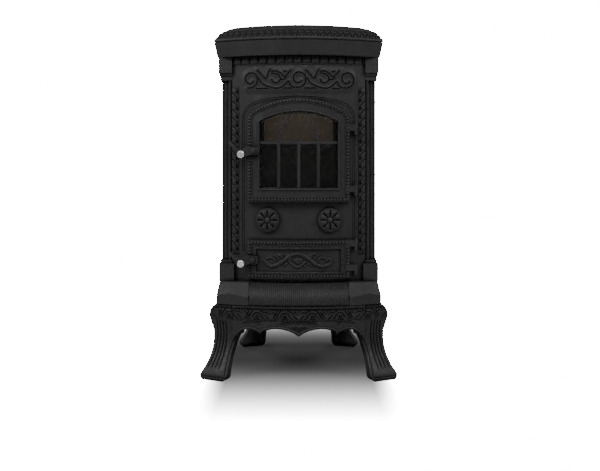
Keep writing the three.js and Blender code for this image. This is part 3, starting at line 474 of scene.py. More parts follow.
class Field:
    """Heights over a rectangle of a surface."""

    def __init__(self, left, right, low, high, step):
        across = np.linspace(left, right, max(2, int((right - left) / step) + 1))
        up = np.linspace(low, high, max(2, int((high - low) / step) + 1))
        self.across, self.up = np.meshgrid(across, up)
        self.height = np.full(self.across.shape, BURIED)
        self.shade = None

    def away(self, paths):
        """Distance from each place to the nearest of the paths."""
        best = np.full(self.across.shape, 1e6)
        for path in paths:
            points = smooth(path)
            for start, end in zip(points, points[1:]):
                step = end - start
                along = (self.across - start[0]) * step[0] + (self.up - start[1]) * step[1]
                t = unit(along / max(step @ step, 1e-9))
                beside = self.across - start[0] - t * step[0]
                above = self.up - start[1] - t * step[1]
                best = np.minimum(best, beside ** 2 + above ** 2)
        return np.sqrt(best)

    def engrave(self, paths, rise, line, reach, slope):
        """Raised scrollwork: lines cut into banks that slope away to the ground, with painted shade along
        the lines.
        """
        gap = self.away(paths)
        cut = groove(gap, 1.0, line)
        banks = np.minimum(GROOVE_FLOOR + rise * (1 - cut), (reach - gap) * slope)
        self.height = np.maximum(self.height, banks)
        # The lines' share of painted shade.
        self.shade = cut

    def rib(self, paths, rise, half_width):
        """Raised round ribs along the paths."""
        gap = self.away(paths)
        crown = 0.1 + rise * np.sqrt(unit(1 - (gap / half_width) ** 2))
        self.height = np.where(gap < half_width + 0.8, np.maximum(self.height, crown), self.height)


def relief(name, field, surface, body="root", depth=1.4, shaded=1.8):
    """The part of a field above its surface, as one closed shell with painted shade in its cuts or low
    places.
    """
    height = np.maximum(field.height, BURIED)
    shown = height > 0
    kept = shown[:-1, :-1] | shown[:-1, 1:] | shown[1:, :-1] | shown[1:, 1:]
    used = np.zeros(height.shape, bool)
    for rows in (slice(None, -1), slice(1, None)):
        for columns in (slice(None, -1), slice(1, None)):
            used[rows, columns] |= kept
    index = np.full(height.shape, -1)
    count = int(used.sum())
    index[used] = np.arange(count)
    front = surface(field.across[used], field.up[used], height[used])
    back = surface(field.across[used], field.up[used], np.full(count, -depth))
    rows, columns = np.nonzero(kept)
    a, b = index[rows, columns], index[rows, columns + 1]
    c, d = index[rows + 1, columns + 1], index[rows + 1, columns]
    faces = [np.stack([a, b, c, d], -1), np.stack([a, d, c, b], -1) + count]
    padded = np.pad(kept, 1)
    for step, first, second in (((-1, 0), a, b), ((0, 1), b, c), ((1, 0), c, d), ((0, -1), d, a)):
        edge = ~padded[rows + 1 + step[0], columns + 1 + step[1]]
        faces.append(np.stack([second, first, first + count, second + count], -1)[edge])
    # Painted shade: dark along engraved lines, or where the relief sinks low, and full on the buried back.
    dark = 1.0 - height / shaded if field.shade is None else 1.25 * field.shade
    painted_shade = np.concatenate([dark[used], np.ones(count)])
    return new_piece(name, np.vstack([front, back]), np.vstack(faces).tolist(), body, painted_shade=painted_shade)


def round_profile(half_width, height, sides=6):
    """A half-round moulding's section, as (across, out)."""
    turns = np.linspace(math.pi, 0.0, sides + 1)
    section = [(half_width * math.cos(t), height * math.sin(t)) for t in turns]
    return section + [(half_width, BURIED), (-half_width, BURIED)]


def moulding(name, path, section, surface, body="root", closed=False, joined=()):
    """Sections swept along one or more paths on a surface, in one piece."""
    points, faces, painted_shade = [], [], []
    top = max(out for across, out in section)
    for line in [path, *joined]:
        line = np.array(line, float)
        base = sum(len(part) for part in points)
        ring = len(section)
        for across, out in section:
            shifted = offset(line, across, closed)
            points.append(surface(shifted[:, 0], shifted[:, 1], np.full(len(line), out)))
            # Painted shade: darker towards the moulding's root, lightest along its crown.
            painted_shade += [min(1.0, 1.0 - out / top) ** 2] * len(line)
        count = len(line)
        for side in range(ring):
            other = (side + 1) % ring
            for i in range(count if closed else count - 1):
                ahead = (i + 1) % count
                faces.append((base + side * count + i, base + side * count + ahead,
                              base + other * count + ahead, base + other * count + i))
        if not closed:
            faces.append(tuple(base + side * count for side in range(ring)))
            faces.append(tuple(base + side * count + count - 1 for side in reversed(range(ring))))
    return new_piece(name, np.vstack(points), faces, body, painted_shade=painted_shade)


def domes(name, places, turns, length, width, height, surface, body="root", slot="cast_iron", sides=10,
          rings=3, flatness=1.0):
    """Rounded studs, each a small closed shell set into the surface; a low flatness squares them off."""
    across, up, out, faces, painted_shade = [], [], [], [], []
    ring = 2 * math.pi * np.arange(sides) / sides
    for (x, z), turn in zip(places, turns):
        base = len(across)
        levels = [(1.0, STUD_ROOT)]
        for t in np.linspace(0.0, math.pi / 2, rings + 1)[:-1]:
            levels.append((math.cos(t) ** flatness, height * math.sin(t)))
        for size, level in levels:
            u = size * length / 2 * np.cos(ring)
            v = size * width / 2 * np.sin(ring)
            across.extend(x + u * math.cos(turn) - v * math.sin(turn))
            up.extend(z + u * math.sin(turn) + v * math.cos(turn))
            out.extend([level] * sides)
            # Painted shade: darker towards a stud's foot, none on its crown.
            painted_shade += [min(1.0, 1.0 - level / height) ** 1.5] * sides
        painted_shade.append(0.0)
        across.append(x)
        up.append(z)
        out.append(height)
        crown = base + len(levels) * sides
        faces.extend(ring_faces(len(levels), sides, base))
        last = crown - sides
        faces.extend((last + i, last + (i + 1) % sides, crown) for i in range(sides))
        faces.append(tuple(base + i for i in reversed(range(sides))))
    points = surface(np.array(across), np.array(up), np.array(out))
    return new_piece(name, points, faces, body, slot, painted_shade)


def dress(node, material, bevel):
    """A CAD part keeps its shape and gets rounded edges, smooth faces and its material."""
    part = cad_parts[node]
    part.data.polygons.foreach_set("use_smooth", [True] * len(part.data.polygons))
    weld = part.modifiers.new("weld", "WELD")
    weld.merge_threshold = 0.00001
    flats = part.modifiers.new("flats", "DECIMATE")
    flats.decimate_type = "DISSOLVE"
    flats.angle_limit = math.radians(0.5)
    edges = part.modifiers.new("edges", "BEVEL")
    edges.width = bevel * MM
    edges.segments = 2
    edges.limit_method = "ANGLE"
    edges.angle_limit = math.radians(30)
    part.modifiers.new("normals", "WEIGHTED_NORMAL")
    part.data.materials.clear()
    part.data.materials.append(material)


# ---- outlines
def arch(half, low, spring, apex, corner):
    """From one foot of a three-centred arch up and over to the other."""
    reach = half - corner
    drop = spring - apex
    radius = (corner ** 2 - reach ** 2 - drop ** 2) / (2 * (drop + corner))
    meet = math.atan2(reach, spring - apex + radius)
    path = [(-half, low), (-half, spring)]
    for t in np.linspace(0.0, math.pi / 2 - meet, 7)[1:]:
        path.append((-reach - corner * math.cos(t), spring + corner * math.sin(t)))
    for t in np.linspace(meet, 0.0, 14)[1:]:
        path.append((-radius * math.sin(t), apex - radius + radius * math.cos(t)))
    return both_halves(path)


def segment(half, low, spring, apex):
    """From one foot of a segmental arch up and over to the other."""
    rise = apex - spring
    radius = (half ** 2 + rise ** 2) / (2 * rise)
    widest = math.asin(half / radius)
    path = [(-half, low), (-half, spring)]
    for t in np.linspace(-widest, 0, 12)[1:]:
        path.append((radius * math.sin(t), apex - radius + radius * math.cos(t)))
    return both_halves(path)


def circle(radius, angles):
    return [(radius * math.cos(a), radius * math.sin(a)) for a in angles]


def rectangle(left, right, low, high):
    return [(left, low), (left, high), (right, high), (right, low)]


def stepped(path):
    """Extra points along long straight runs of a closed path, so that a moulding follows the bow."""
    points = [np.array(point, float) for point in path]
    out = []
    for start, end in zip(points, points[1:] + points[:1]):
        steps = max(1, int(np.linalg.norm(end - start) / 12))
        out += [tuple(start + (end - start) * k / steps) for k in range(steps)]
    return out


def curve(*stops):
    """Quadratic curves through (control, end) pairs after a start."""
    path = [stops[0]]
    for control, end in zip(stops[1::2], stops[2::2]):
        start = path[-1]
        for t in np.linspace(0, 1, 13)[1:]:
            path.append(tuple((1 - t) ** 2 * s + 2 * t * (1 - t) * c + t * t * e
                              for s, c, e in zip(start, control, end)))
    return path


# ---- cast ornament of the front
def spiral(x, z, angles, shares, radii):
    """A volute's line: its radius changes between the given shares of the turn."""
    share = np.linspace(0.0, 1.0, 24)
    angle = np.radians(angles[0] + (angles[1] - angles[0]) * share)
    radius = np.interp(share, shares, radii)
    return list(zip(x + radius * np.cos(angle), z + radius * np.sin(angle)))


VOLUTE = [spiral(-135, 835, (-40, -470), (0, 0.15, 0.5, 0.76, 1), (9, 13, 18, 18.5, 26))]
STEM = [
    [(-117, 860), (-105, 848), (-98, 840), (-92, 835), (-88, 844), (-82, 859), (-79, 862)],
    [(-113, 837), (-104, 824), (-87, 814), (-64, 808), (-47, 812), (-28, 828)],
    [(-120, 808), (-88, 808)],
    [(-76, 833), (-70, 824), (-58, 825), (-51, 835), (-58, 847), (-75, 851)],
    [(-77, 855), (-64, 857), (-50, 850), (-41, 841), (-32, 847), (-22, 859)],
    [(-50, 833), (-41, 833), (-34, 839)],
    [(-42, 856), (-38, 855), (-35, 856)],
    [(-41, 808), (-20, 808)],
    [(-28, 828), (-22, 816), (-12, 810)],
]
FRIEZE_PITCH = 136.2


def add_frieze():
    """Three volutes with leafy stems between them, over the fire door."""
    field = Field(-166, 162, 794, 874, 1.0)
    paths = [path for k in range(3) for path in moved(VOLUTE, k * FRIEZE_PITCH)]
    paths += [path for k in range(2) for path in moved(STEM, k * FRIEZE_PITCH)]
    field.engrave(paths, rise=2.8, line=2.0, reach=15.0, slope=0.2)
    relief("frieze", field, FRONT)


GADROON_PITCH = 24.7


def add_gadroon():
    """A band of leaning lobes with a curled groove in each, under the cornice."""
    field = Field(-188.5, 188.5, 876.5, 899.2, 1.2)
    lean = -2.6 * unit(1 - (field.up - 878) / 12) ** 2
    share = ((field.across - lean + 163.0) / GADROON_PITCH) % 1.0
    lobe = 1 - np.abs(2 * share - 1) ** 2.6
    foot = unit((field.up - 878.5) / 6.0) ** 0.5
    curl = groove(share - 0.36 - 0.014 * (field.up - 890), 1.0, 0.055) * unit((field.up - 883) / 4)
    field.height = 4.8 * lobe * foot * (1 - 0.4 * curl) - 0.25
    field.height[np.abs(field.across) > 187.6] = BURIED
    relief("gadroon", field, FRONT)
    fillet = [(x, 876.9) for x in np.linspace(-187, 187, 90)]
    moulding("gadroon_fillet", fillet, round_profile(1.5, 1.5), FRONT)


GARLAND_PITCH = 23.55
GARLAND_TOP = 803.8
LEAF_EDGE = [(-194, 19), (-187, 16), (-181, 10), (-176, 3), (-174, -3), (-175, -7)]
LEAF_VEIN = [(-193, 7), (-188, 4), (-183, -3), (-180, -10)]


def add_garland(side, name):
    """Leaves one above the other down one edge of the front."""
    field = Field(-191.5, -169.5, 337, 815, 1.1)
    heights = [GARLAND_TOP - GARLAND_PITCH * k for k in range(-1, 21)]
    edges = field.away([path for z in heights for path in moved([LEAF_EDGE], 0, z)])
    veins = field.away([path for z in heights for path in moved([LEAF_VEIN], 0, z)])
    pockets = np.full(field.across.shape, 1e6)
    for z in heights:
        pockets = np.minimum(pockets, np.hypot(field.across + 174.3, (field.up - z + 4.0) / 1.5))
    body = 3.9 * np.sqrt(unit(1 - ((field.across + 180.8) / 10.4) ** 2)) - 0.3
    ends = unit(np.minimum(field.up - 338, 813 - field.up) / 8.0) ** 0.5
    cut = (1 - groove(edges, 0.97, 1.9)) * (1 - groove(veins, 0.35, 1.2))
    field.height = body * cut * ends - 0.05
    pocket = np.maximum(0.12, np.minimum(field.height, (pockets - 3.2) * 1.1))
    field.height = np.where((pockets < 4.4) & (ends > 0.5), pocket, field.height)
    relief(name, field, lambda across, up, out: FRONT(side * across, up, out))


def add_field_line():
    """Two fine ribs that frame the doors' field."""
    half = [
        (-158, 350), (-158.3, 470), (-158.5, 600), (-158.6, 722), (-155.5, 738), (-149, 753), (-140, 761.5),
        (-131, 765.8), (-118, 770.5), (-104, 774.7), (-78, 779.6), (-52, 782.7), (-26, 784.4), (0, 785),
    ]
    line = smooth(both_halves(half), 4.0)
    section = round_profile(1.6, 1.5)
    moulding("field_line", offset(line, 2.8), section, FRONT, joined=[offset(line, -2.8)])


# ---- doors
def add_bead_row(name, path, surface, body, closed=True, pitch=9.2, length=7.6, width=9.0, height=2.4):
    """Squared beads spaced evenly along a path, in the doors' size unless another is given."""
    places, turns = even(path, pitch, closed)
    domes(name, places, turns, length, width, height, surface, body, flatness=0.45)


def add_door_line(name, path, half_width, height, body):
    """A closed moulding that follows a door's bow."""
    moulding(name, stepped(path), round_profile(half_width, height), DOOR, body, closed=True)


def add_fire_door_trim():
    body = "fire_door"
    add_bead_row("fire_door_beads", arch(138.4, 494.6, 717, 773.4, 28.4), DOOR, body)
    add_door_line("fire_door_line", arch(132.4, 500.6, 717, 767.4, 22.4), 1.4, 1.5, body)
    add_door_line("window_moulding", segment(113.2, 523.2, 715.5, 744.8), 3.0, 2.4, body)


# Lines of the ash door's scroll by the half width of their rib.
ASH_RIBS = {
    5.0: [
        [(-95, 323), (-84, 311), (-70, 309), (-46, 321), (-24, 338), (0, 343), (24, 332), (47, 314),
         (67, 308), (85, 313), (91, 322), (88, 329)],
    ],
    3.9: [
        [(-24, 330), (-25, 320), (-10, 308), (3, 308), (18, 320)],
        [(-10, 323), (-3, 327), (7, 326), (6, 320), (-4, 319)],
    ],
    2.9: [
        [(-90, 329), (-80, 332), (-70, 329), (-64, 324)],
        [(-68, 337), (-60, 335), (-56, 329)],
        [(-59, 340), (-50, 338), (-46, 332)],
        [(-49, 342), (-34, 340)],
        [(23, 341), (32, 337), (35, 332)],
        [(33, 330), (36, 340), (46, 343)],
        [(43, 326), (49, 336), (59, 341)],
        [(55, 321), (59, 330), (71, 332), (80, 327), (78, 322)],
        [(-41, 311), (-34, 315)],
        [(17, 308), (28, 316), (36, 309)],
    ],
}


def add_ash_door_trim():
    body = "ash_door"
    add_bead_row("ash_door_beads", rectangle(-138.4, 138.4, 279.6, 373.4), DOOR, body)
    add_door_line("ash_door_line", rectangle(-131.6, 131.6, 286.4, 366.6), 1.4, 1.5, body)
    add_door_line("ash_panel_moulding", rectangle(-122.2, 121.2, 289.8, 358.2), 2.4, 1.8, body)
    field = Field(-106, 98, 295, 350, 1.0)
    for half_width, paths in ASH_RIBS.items():
        field.rib(paths, 0.72 * half_width, 1.08 * half_width)
    relief("ash_scroll", field, PANEL, body, shaded=1.5)


# ---- air rosettes
ROSETTE_X = 87.0
ROSETTE_Z = 437.0
ROSETTE_FACE = 507.6
ROSETTE_RIM = 30.0
ROSETTE_PETALS = 8


def add_rosette(side, name):
    """A rim and eight petals on the turning plate of an air vent."""
    turn = math.asin(side * ROSETTE_X / FRONT_RADIUS)
    centre = (ROSETTE_FACE * math.sin(turn), BOW_CENTRE_Y - ROSETTE_FACE * math.cos(turn), ROSETTE_Z)
    outward = (math.sin(turn), -math.cos(turn), 0)
    face = flat(centre, (math.cos(turn), math.sin(turn), 0), outward)
    body = "air_rosette_" + name
    angles = np.linspace(0, 2 * math.pi, 49)[:-1]
    rim = circle(ROSETTE_RIM, angles)[::-1]
    moulding("rosette_rim_" + name, rim, round_profile(2.6, 1.8, 8), face, body, closed=True)
    field = Field(-ROSETTE_RIM, ROSETTE_RIM, -ROSETTE_RIM, ROSETTE_RIM, 0.7)
    reach = np.hypot(field.across, field.up)
    share = np.arctan2(field.up, field.across) / (2 * math.pi / ROSETTE_PETALS) % 1.0
    petal = np.sqrt(unit(1 - (np.abs(2 * share - 1) / 0.86) ** 2.2))
    swell = unit(np.minimum((reach - 6.5) / 12, (ROSETTE_RIM - reach) / 6)) ** 0.5
    field.height = np.where((reach > 9) & (reach < 29), 4.4 * petal * swell, BURIED)
    relief("rosette_petals_" + name, field, face, body, depth=0.6, shaded=2.6)


# ---- base
# One arched scroll of the apron about its own middle, and the lines under the scrolls.
EYEBROW = [
    [(-11, -9), (-9, -2), (-4, 2), (1, 2.5), (7, 1), (12, -4), (15, -10), (21, -14)],
    [(-4, -9), (-2, -5.5), (2, -6), (4, -9), (1, -12), (-3, -11)],
    [(-9, -15), (0, -16), (8, -15)],
    [(-12, 8), (-18, 0), (-23, -8), (-29, -14)],
    [(-22, 5.5), (-33, -11)],
    [(-34, 6), (-29, 1), (-24, -4)],
    [(8, 8), (16, 5), (23, 3), (29, 6)],
    [(23, -4), (34, -14)],
]
LOW_LINES = [
    [(-154, 156), (-140, 159), (-120, 161), (-110, 156)],
    [(-46, 158), (-24, 159), (0, 159)],
    [(-17, 146), (0, 135)],
    [(-9, 147), (0, 141)],
]
APRON_EDGE = both_halves(curve((-171, 116), (-160, 136), (-140, 137), (-120, 137), (-109, 126), (-90, 140),
                               (-61, 140), (-25, 140), (0, 120)))
SCROLL_Z = 181.5
SCROLL_LOW = 162
SCROLL_HIGH = 190.5
APRON_HALF = 182.5
BEAD_Z = 192.6
BEAD_SIZE = {"pitch": 6.6, "length": 5.4, "width": 3.6, "height": 1.8}
FASCIA_Z = 199.2


def add_apron_ornament():
    """Scrolls, beads and a fascia over the apron's scalloped edge."""
    left = [path for x in (-192.0, -114.8, -37.6) for path in moved(EYEBROW, x, SCROLL_Z)]
    field = Field(-APRON_HALF, APRON_HALF, SCROLL_LOW, SCROLL_HIGH, 1.1)
    field.engrave(left + flipped(left), rise=2.9, line=1.5, reach=8.0, slope=0.45)
    relief("apron_scroll", field, APRON)
    low = Field(-165, 165, 130, 165, 1.3)
    low.engrave(LOW_LINES + flipped(LOW_LINES), rise=1.6, line=1.3, reach=5.0, slope=0.5)
    low.height[low.up > 161.5] = BURIED
    relief("apron_lines", low, APRON)
    moulding("apron_edge", offset(APRON_EDGE, 4.2), round_profile(3.6, 3.4, 8), APRON)
    row = [(x, BEAD_Z) for x in np.linspace(-183, 183, 60)]
    add_bead_row("apron_beads", row, APRON, "root", closed=False, **BEAD_SIZE)
    top = [(x, FASCIA_Z) for x in np.linspace(-183.6, 183.6, 60)]
    moulding("apron_fascia", top, round_profile(4.5, 4.6, 8), APRON)


LIP_HALF = 139.6
LIP_BACK = -172.4
LIP_RADIUS = 57.0
LIP_RIB = 5.6
PLINTH_BOTTOM = 204.2
PLINTH_TOP = 262.0


def add_ash_lip():
    """The rounded lip under the doors, finely ribbed from front to back."""
    columns = np.linspace(-LIP_HALF, LIP_HALF, 301)
    ribs = 0.35 * (1 - np.cos(2 * math.pi * columns / LIP_RIB))
    crown = BASE_RADIUS - LIP_RADIUS
    nearest = np.maximum(crown, np.sqrt((BASE_CENTRE_Y - LIP_BACK + 1.2) ** 2 + columns ** 2))
    widest = np.arccos(unit((nearest - crown) / LIP_RADIUS))
    rows = []
    for share in np.linspace(0.0, 1.0, 16):
        angle = share * widest
        reach = crown + (LIP_RADIUS - ribs) * np.cos(angle)
        up = PLINTH_BOTTOM + (PLINTH_TOP - PLINTH_BOTTOM - ribs) * np.sin(angle)
        depth = np.sqrt(np.maximum(reach ** 2 - columns ** 2, 0))
        rows.append(np.stack([columns, BASE_CENTRE_Y - depth, up], -1))
    back = np.full(len(columns), LIP_BACK)
    rows.append(np.stack([columns, back, rows[-1][:, 2]], -1))
    rows.append(np.stack([columns, back, np.full(len(columns), PLINTH_BOTTOM)], -1))
    count = len(columns)
    faces = []
    for k in range(len(rows)):
        low, high = k * count, ((k + 1) % len(rows)) * count
        faces.extend((low + i, low + i + 1, high + i + 1, high + i) for i in range(count - 1))
    faces.append(tuple(k * count for k in reversed(range(len(rows)))))
    faces.append(tuple(k * count + count - 1 for k in range(len(rows))))
    # Painted shade in the valleys between the ribs.
    painted_shade = np.tile(ribs / ribs.max() * 0.5, len(rows))
    lip = new_piece("ash_lip_ribbed", np.vstack(rows), faces, "root", painted_shade=painted_shade)
    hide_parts("ash_lip")


LEG_TURN = math.radians(22)
LEG_HEIGHT = 203.7
# A leg's edges along its face, and its front and back into the stove, each as (distance, height).
LEG_OUTER = [
    (-31.5, 0), (-37.4, 5.4), (-39.4, 14.2), (-34.9, 24.5), (-30.3, 34.5), (-27, 48.8), (-24.8, 73),
    (-24.9, 98.9), (-25.6, 112.5), (-26.6, 126.4), (-31.5, 140.1), (-36.6, 154.2), (-40.2, 168.4),
    (-37, 182.9), (-29, 194.7), (-17, 202), (-12, 203.7),
]
LEG_INNER = [
    (32, 0), (40, 5.5), (43.9, 14.3), (43.2, 26.3), (41.3, 40.2), (39.3, 53.9), (38.8, 68.1), (41.1, 83.3),
    (43.1, 96.2), (46.8, 107.3), (52, 118.5), (60, 126), (60, 203.7),
]
LEG_FRONT = [
    (0, 0), (0, 12), (3, 20), (12, 35), (26, 52), (40, 72), (50, 95), (54, 118), (54, 140), (51.5, 160),
    (49.5, 180), (50.5, 203.7),
]
LEG_BACK = [
    (27, 0), (27, 18), (36, 36), (50, 54), (66, 80), (76, 110), (78, 140), (78, 170), (80, 203.7),
]
LEGS = {
    "leg_front_left": (-237.5, -229.5, 1, 1), "leg_front_right": (237.5, -229.5, -1, 1),
    "leg_rear_left": (-160.0, 200.0, 1, -1), "leg_rear_right": (160.0, 200.0, -1, -1),
}


def follow(outline, heights):
    """The first coordinate of a smooth outline at each height."""
    path = smooth(outline, 2.0)
    return np.interp(heights, np.maximum.accumulate(path[:, 1]), path[:, 0])


def leg_frame(name):
    """Turns a leg's own (along the face, into the stove, up) into points."""
    foot_x, foot_y, across, into = LEGS[name]

    def place(u, v, z):
        x = u * math.cos(LEG_TURN) + v * math.sin(LEG_TURN)
        y = -u * math.sin(LEG_TURN) + v * math.cos(LEG_TURN)
        return np.stack([foot_x + across * x, foot_y + into * y, z + 0.0 * x], -1)
    return place


def add_leg(name):
    """A cabriole leg: fluted face, grooved inner edge, plain block at the foot."""
    place = leg_frame(name)
    heights = np.unique(np.concatenate([np.linspace(0, LEG_HEIGHT, 70), np.linspace(6.5, 12.5, 9)]))
    outer, inner = follow(LEG_OUTER, heights), follow(LEG_INNER, heights)
    front, back = follow(LEG_FRONT, heights), follow(LEG_BACK, heights)
    share = np.linspace(0, 1, 57)
    rings, painted_shade = [], []
    for z, u0, u1, v0, v1 in zip(heights, outer, inner, front, back):
        u = u0 + (u1 - u0) * share
        fade = unit((z - 27) / 10) * unit((160 - z) / 6)
        v = np.full(len(u), v0)
        cut = groove(z - 9.5, 0.5, 1.3) + unit((z - 10) / 8) * groove(u1 - 7.5 - u, 0.8, 1.6)
        flutes_from = np.interp(z, (20, 70, 120, 160), (-30, -20, -18, -20))
        flutes_width = np.interp(z, (20, 70, 160), (66, 54, 50))
        for at in (0.14, 0.32, 0.5, 0.68):
            cut = cut + fade * groove(u - (flutes_from + at * flutes_width), 1.0, 1.9)
        cut = np.minimum(cut, 1.0)
        v = v + 3.0 * cut
        outer_corner = np.interp(z, (0, 20, 60, 140, 165), (1.0, 1.5, 4.0, 4.5, 9.0))
        inner_corner = np.interp(z, (0, 20, 60), (1.0, 1.5, 4.0))
        for gap, corner in ((u - u0, outer_corner), (u1 - u, inner_corner)):
            near = unit(1 - gap / corner)
            v = v + corner * (1 - np.sqrt(1 - near ** 2))
        side = np.linspace(0, 1, 7)[1:-1]
        bulge = 0.8 * np.sin(math.pi * side)
        right_v = v[-1] + (v1 - v[-1]) * side
        left_v = v1 + (v[0] - v1) * side
        ring_u = np.concatenate([u, u1 + 0 * side - bulge, [u1, u0], u0 + 0 * side + bulge])
        ring_v = np.concatenate([v, right_v, [v1, v1], left_v])
        rings.append(place(ring_u, ring_v, np.full(len(ring_u), z)))
        # Painted shade in the flutes and grooves of the face.
        painted_shade += list(0.9 * cut) + [0.0] * (len(ring_u) - len(u))
    count = len(rings[0])
    faces = ring_faces(len(rings), count)
    faces.append(tuple(reversed(range(count))))
    faces.append(tuple((len(rings) - 1) * count + i for i in range(count)))
    piece = new_piece(name + "_fluted", np.vstack(rings), faces, "root", painted_shade=painted_shade)
    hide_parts(name)


def add_knee_scroll(name):
    """The apron's scroll carried round on to the knee of a front leg."""
    place = leg_frame(name)
    side = name.split("_")[-1]

    def surface(across, up, out):
        return place(across, follow(LEG_FRONT, up) - out, up)
    field = Field(-37, 36, SCROLL_LOW, SCROLL_HIGH, 1.1)
    paths = moved(EYEBROW, 27, SCROLL_Z) + moved(EYEBROW, -50, SCROLL_Z)
    field.engrave(paths, rise=2.4, line=1.4, reach=7.0, slope=0.5)
    field.height = np.minimum(field.height, (field.across - follow(LEG_OUTER, field.up) - 5) * 0.5)
    relief("knee_scroll_" + side, field, surface)
    row = [(u, BEAD_Z) for u in np.linspace(-26, 36, 12)]
    add_bead_row("knee_beads_" + side, row, surface, "root", closed=False, **BEAD_SIZE)
    fascia = [(u, FASCIA_Z) for u in np.linspace(-16, 36, 12)]
    moulding("knee_fascia_" + side, fascia, round_profile(4.4, 4.6, 8), surface)


# ---- top
CORNICE_HALF = 241.5
CORNICE_FRONT = -205.0
CORNICE_RADIUS = 560.0
CORNICE_BACK = (184.0, 198.0)
RIM_RADIUS = 4.4
RIM_INSET = 3.6
RIM_Z = 946.6
# The domed top's section as (distance in from the edge, height).
TOP_PROFILE = [
    (1, 949), (4, 953), (9, 960), (15, 968), (27, 977), (40, 985), (60, 993), (80, 998), (100, 999.7),
    (122, 1000),
]


def top_outline():
    """The cornice's plan every few millimetres, anticlockwise from its front left corner."""
    centre = CORNICE_FRONT + CORNICE_RADIUS
    path = []
    for x in np.linspace(-CORNICE_HALF, CORNICE_HALF, 160):
        path.append((x, centre - math.sqrt(CORNICE_RADIUS ** 2 - x * x)))
    across, back = CORNICE_BACK
    corners = [path[-1], (across, back), (-across, back), path[0]]
    for start, end in zip(corners, corners[1:]):
        for t in np.linspace(0, 1, 90)[1:]:
            path.append((start[0] + (end[0] - start[0]) * t, start[1] + (end[1] - start[1]) * t))
    return np.array(path)


TOP_PATH = top_outline()
TOP_RUN = run_along(TOP_PATH)
TOP_RISE = run_along(TOP_PROFILE)


def top_point(run, rise):
    """A point of the domed top from its place along the edge and the distance up from the rim."""
    run = np.mod(run, TOP_RUN[-1])
    x = np.interp(run, TOP_RUN, TOP_PATH[:, 0])
    y = np.interp(run, TOP_RUN, TOP_PATH[:, 1])
    inset = np.interp(rise, TOP_RISE, [part[0] for part in TOP_PROFILE])
    up = np.interp(rise, TOP_RISE, [part[1] for part in TOP_PROFILE])
    return np.stack([x * (1 - inset / CORNICE_HALF), y * (1 - inset / -CORNICE_FRONT), up], -1)


def top_surface(across, up, out):
    across, up, out = (np.asarray(part, float) for part in (across, up, out))
    ahead = top_point(across + 1.0, up) - top_point(across - 1.0, up)
    rise = top_point(across, up + 1.0) - top_point(across, up - 1.0)
    normal = np.cross(ahead, rise)
    normal /= np.maximum(np.linalg.norm(normal, axis=-1, keepdims=True), 1e-9)
    return top_point(across, up) + normal * out[..., None]


TOP_LEAF = [
    [(-9.5, 4.5), (-7.5, 9), (-3, 12.5), (1.5, 15), (4.5, 19.5), (3, 24.5), (-1.5, 26), (-4.5, 23)],
    [(1, 4), (4.2, 7), (6.5, 11.5), (9, 16)],
]
TOP_LEAF_PITCH = 19.5


def add_top_ornament():
    """A ring of leaves round the edge of the top, with two plain rings inside it."""
    length = TOP_RUN[-1]
    count = round(length / TOP_LEAF_PITCH)
    pitch = length / count
    field = Field(0, length, 1.5, 29.5, 1.6)
    paths = [path for k in range(-1, count + 1) for path in moved(TOP_LEAF, (k + 0.5) * pitch)]
    field.engrave(paths, rise=2.1, line=2.7, reach=6.5, slope=0.5)
    field.height[:, 0] = field.height[:, -1] = BURIED
    relief("top_leaves", field, top_surface)
    runs = np.arange(0, length, 5.0)
    moulding("top_ring", [(run, 33.5) for run in runs], round_profile(2.2, 2.0), top_surface)
    moulding("top_ring_inner", [(run, 52.0) for run in runs], round_profile(1.4, 1.2), top_surface)


def add_top_rim():
    """The rounded bead that overhangs the cornice."""
    points = []
    sides = 14
    path = TOP_PATH[:-1][::2]
    ahead = np.roll(path, -1, axis=0) - np.roll(path, 1, axis=0)
    normal = np.stack([ahead[:, 1], -ahead[:, 0]], -1)
    normal /= np.linalg.norm(normal, axis=1, keepdims=True)
    centre = path * np.array([1 - RIM_INSET / CORNICE_HALF, 1 - RIM_INSET / -CORNICE_FRONT])
    for k in range(sides):
        t = 2 * math.pi * k / sides
        ring = centre + normal * RIM_RADIUS * math.cos(t)
        points.append(np.column_stack([ring, np.full(len(ring), RIM_Z + RIM_RADIUS * math.sin(t))]))
    new_piece("top_rim", np.vstack(points), ring_faces(sides, len(path), all_round=True), "root")


# ---- sides and back
SIDE_FRONT = (218.0, -104.0)
SIDE_BACK = (165.0, 180.0)
FLUE_Z = 800
FLUE_BOLT_RING = 71


def side_surface(side):
    """The plane of a side panel, seen from outside."""
    run = math.hypot(SIDE_BACK[0] - SIDE_FRONT[0], SIDE_BACK[1] - SIDE_FRONT[1])
    along = np.array([(SIDE_BACK[0] - SIDE_FRONT[0]) / run, (SIDE_BACK[1] - SIDE_FRONT[1]) / run, 0.0])
    face = np.array([along[1], -along[0], 0.0])
    flip = np.array([side, 1.0, 1.0])
    return flat(np.array([*SIDE_FRONT, 0.0]) * flip, along * flip, face * flip)


def add_side(side, name):
    """Two rectangular mouldings and an arched one on a side panel."""
    surface = side_surface(side)
    outer = rectangle(26, 263, 296, 866)
    inner = rectangle(42, 247, 312, 850)
    moulding("side_moulding_" + name, outer, round_profile(4.0, 3.2), surface, closed=True)
    moulding("side_fillet_" + name, inner, round_profile(1.8, 1.6), surface, closed=True)
    arch_line = [(a + 144.5, b) for a, b in arch(84, 360, 720, 800, 30)]
    moulding("side_arch_" + name, arch_line, round_profile(2.2, 1.8), surface, closed=True)


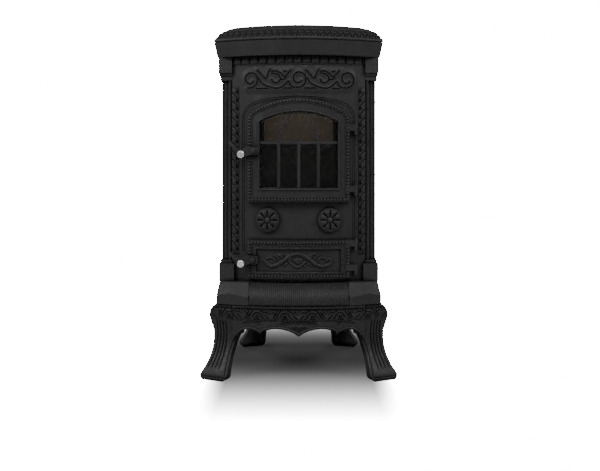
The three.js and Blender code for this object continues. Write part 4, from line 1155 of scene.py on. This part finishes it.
def add_bolts(name, places, surface, radius, height):
    """Hexagon bolt heads with a domed top."""
    domes(name, places, [0.3] * len(places), 2 * radius, 2 * radius, height, surface, sides=6, rings=2,
          slot="plain_steel")


def add_back():
    """A plain moulding and the bolts of the back panel and of the flue's flange."""
    surface = flat((0, 188.3, 0), (-1, 0, 0), (0, 1, 0))
    corners = [(a, z) for a in (-152, 152) for z in (278, 480, 682, 884)]
    add_bolts("back_bolts", corners, surface, 5.0, 3.6)
    moulding("back_moulding", rectangle(-138, 138, 300, 690), round_profile(3.2, 2.6), surface, closed=True)
    flange = flat((0, 195.0, FLUE_Z), (-1, 0, 0), (0, 1, 0))
    ring = circle(FLUE_BOLT_RING, np.arange(6) * math.pi / 3 + math.pi / 6)
    add_bolts("flue_bolts", ring, flange, 4.6, 3.4)


# ---- everything in its place
NODE_MATERIALS = {
    "catch_stud_fire": POLISHED, "catch_stud_ash": POLISHED, "log_guard": GUARD,
    "glass_retainer": SHEET, "ash_pan": SHEET, "ash_pan_handle": SHEET,
    "fire_brick_left": BRICK, "fire_brick_right": BRICK, "fire_brick_back": BRICK,
    "door_glass": GLASS, "fire_door_gasket": ROPE, "ash_door_gasket": ROPE,
}
FINE_PARTS = ("latch", "stud", "pin", "rosette", "glass", "gasket", "retainer", "pan", "rod")


def dress_frame():
    """Every CAD part gets its material and a bevel that suits its size."""
    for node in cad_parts:
        if node in NODE_MATERIALS:
            material = NODE_MATERIALS[node]
        elif node.startswith(("tie_rod", "hinge_pin")):
            material = STEEL
        else:
            material = IRON
        fine = any(word in node for word in FINE_PARTS)
        dress(node, material, 0.5 if fine else 1.1)


add_camera()
add_studio()
dress_frame()
add_frieze()
add_gadroon()
add_garland(1, "garland_left")
add_garland(-1, "garland_right")
add_field_line()
add_fire_door_trim()
add_ash_door_trim()
add_rosette(-1, "left")
add_rosette(1, "right")
add_apron_ornament()
add_ash_lip()
for leg_name in LEGS:
    add_leg(leg_name)
add_knee_scroll("leg_front_left")
add_knee_scroll("leg_front_right")
add_top_ornament()
add_top_rim()
add_side(1, "right")
add_side(-1, "left")
add_back()
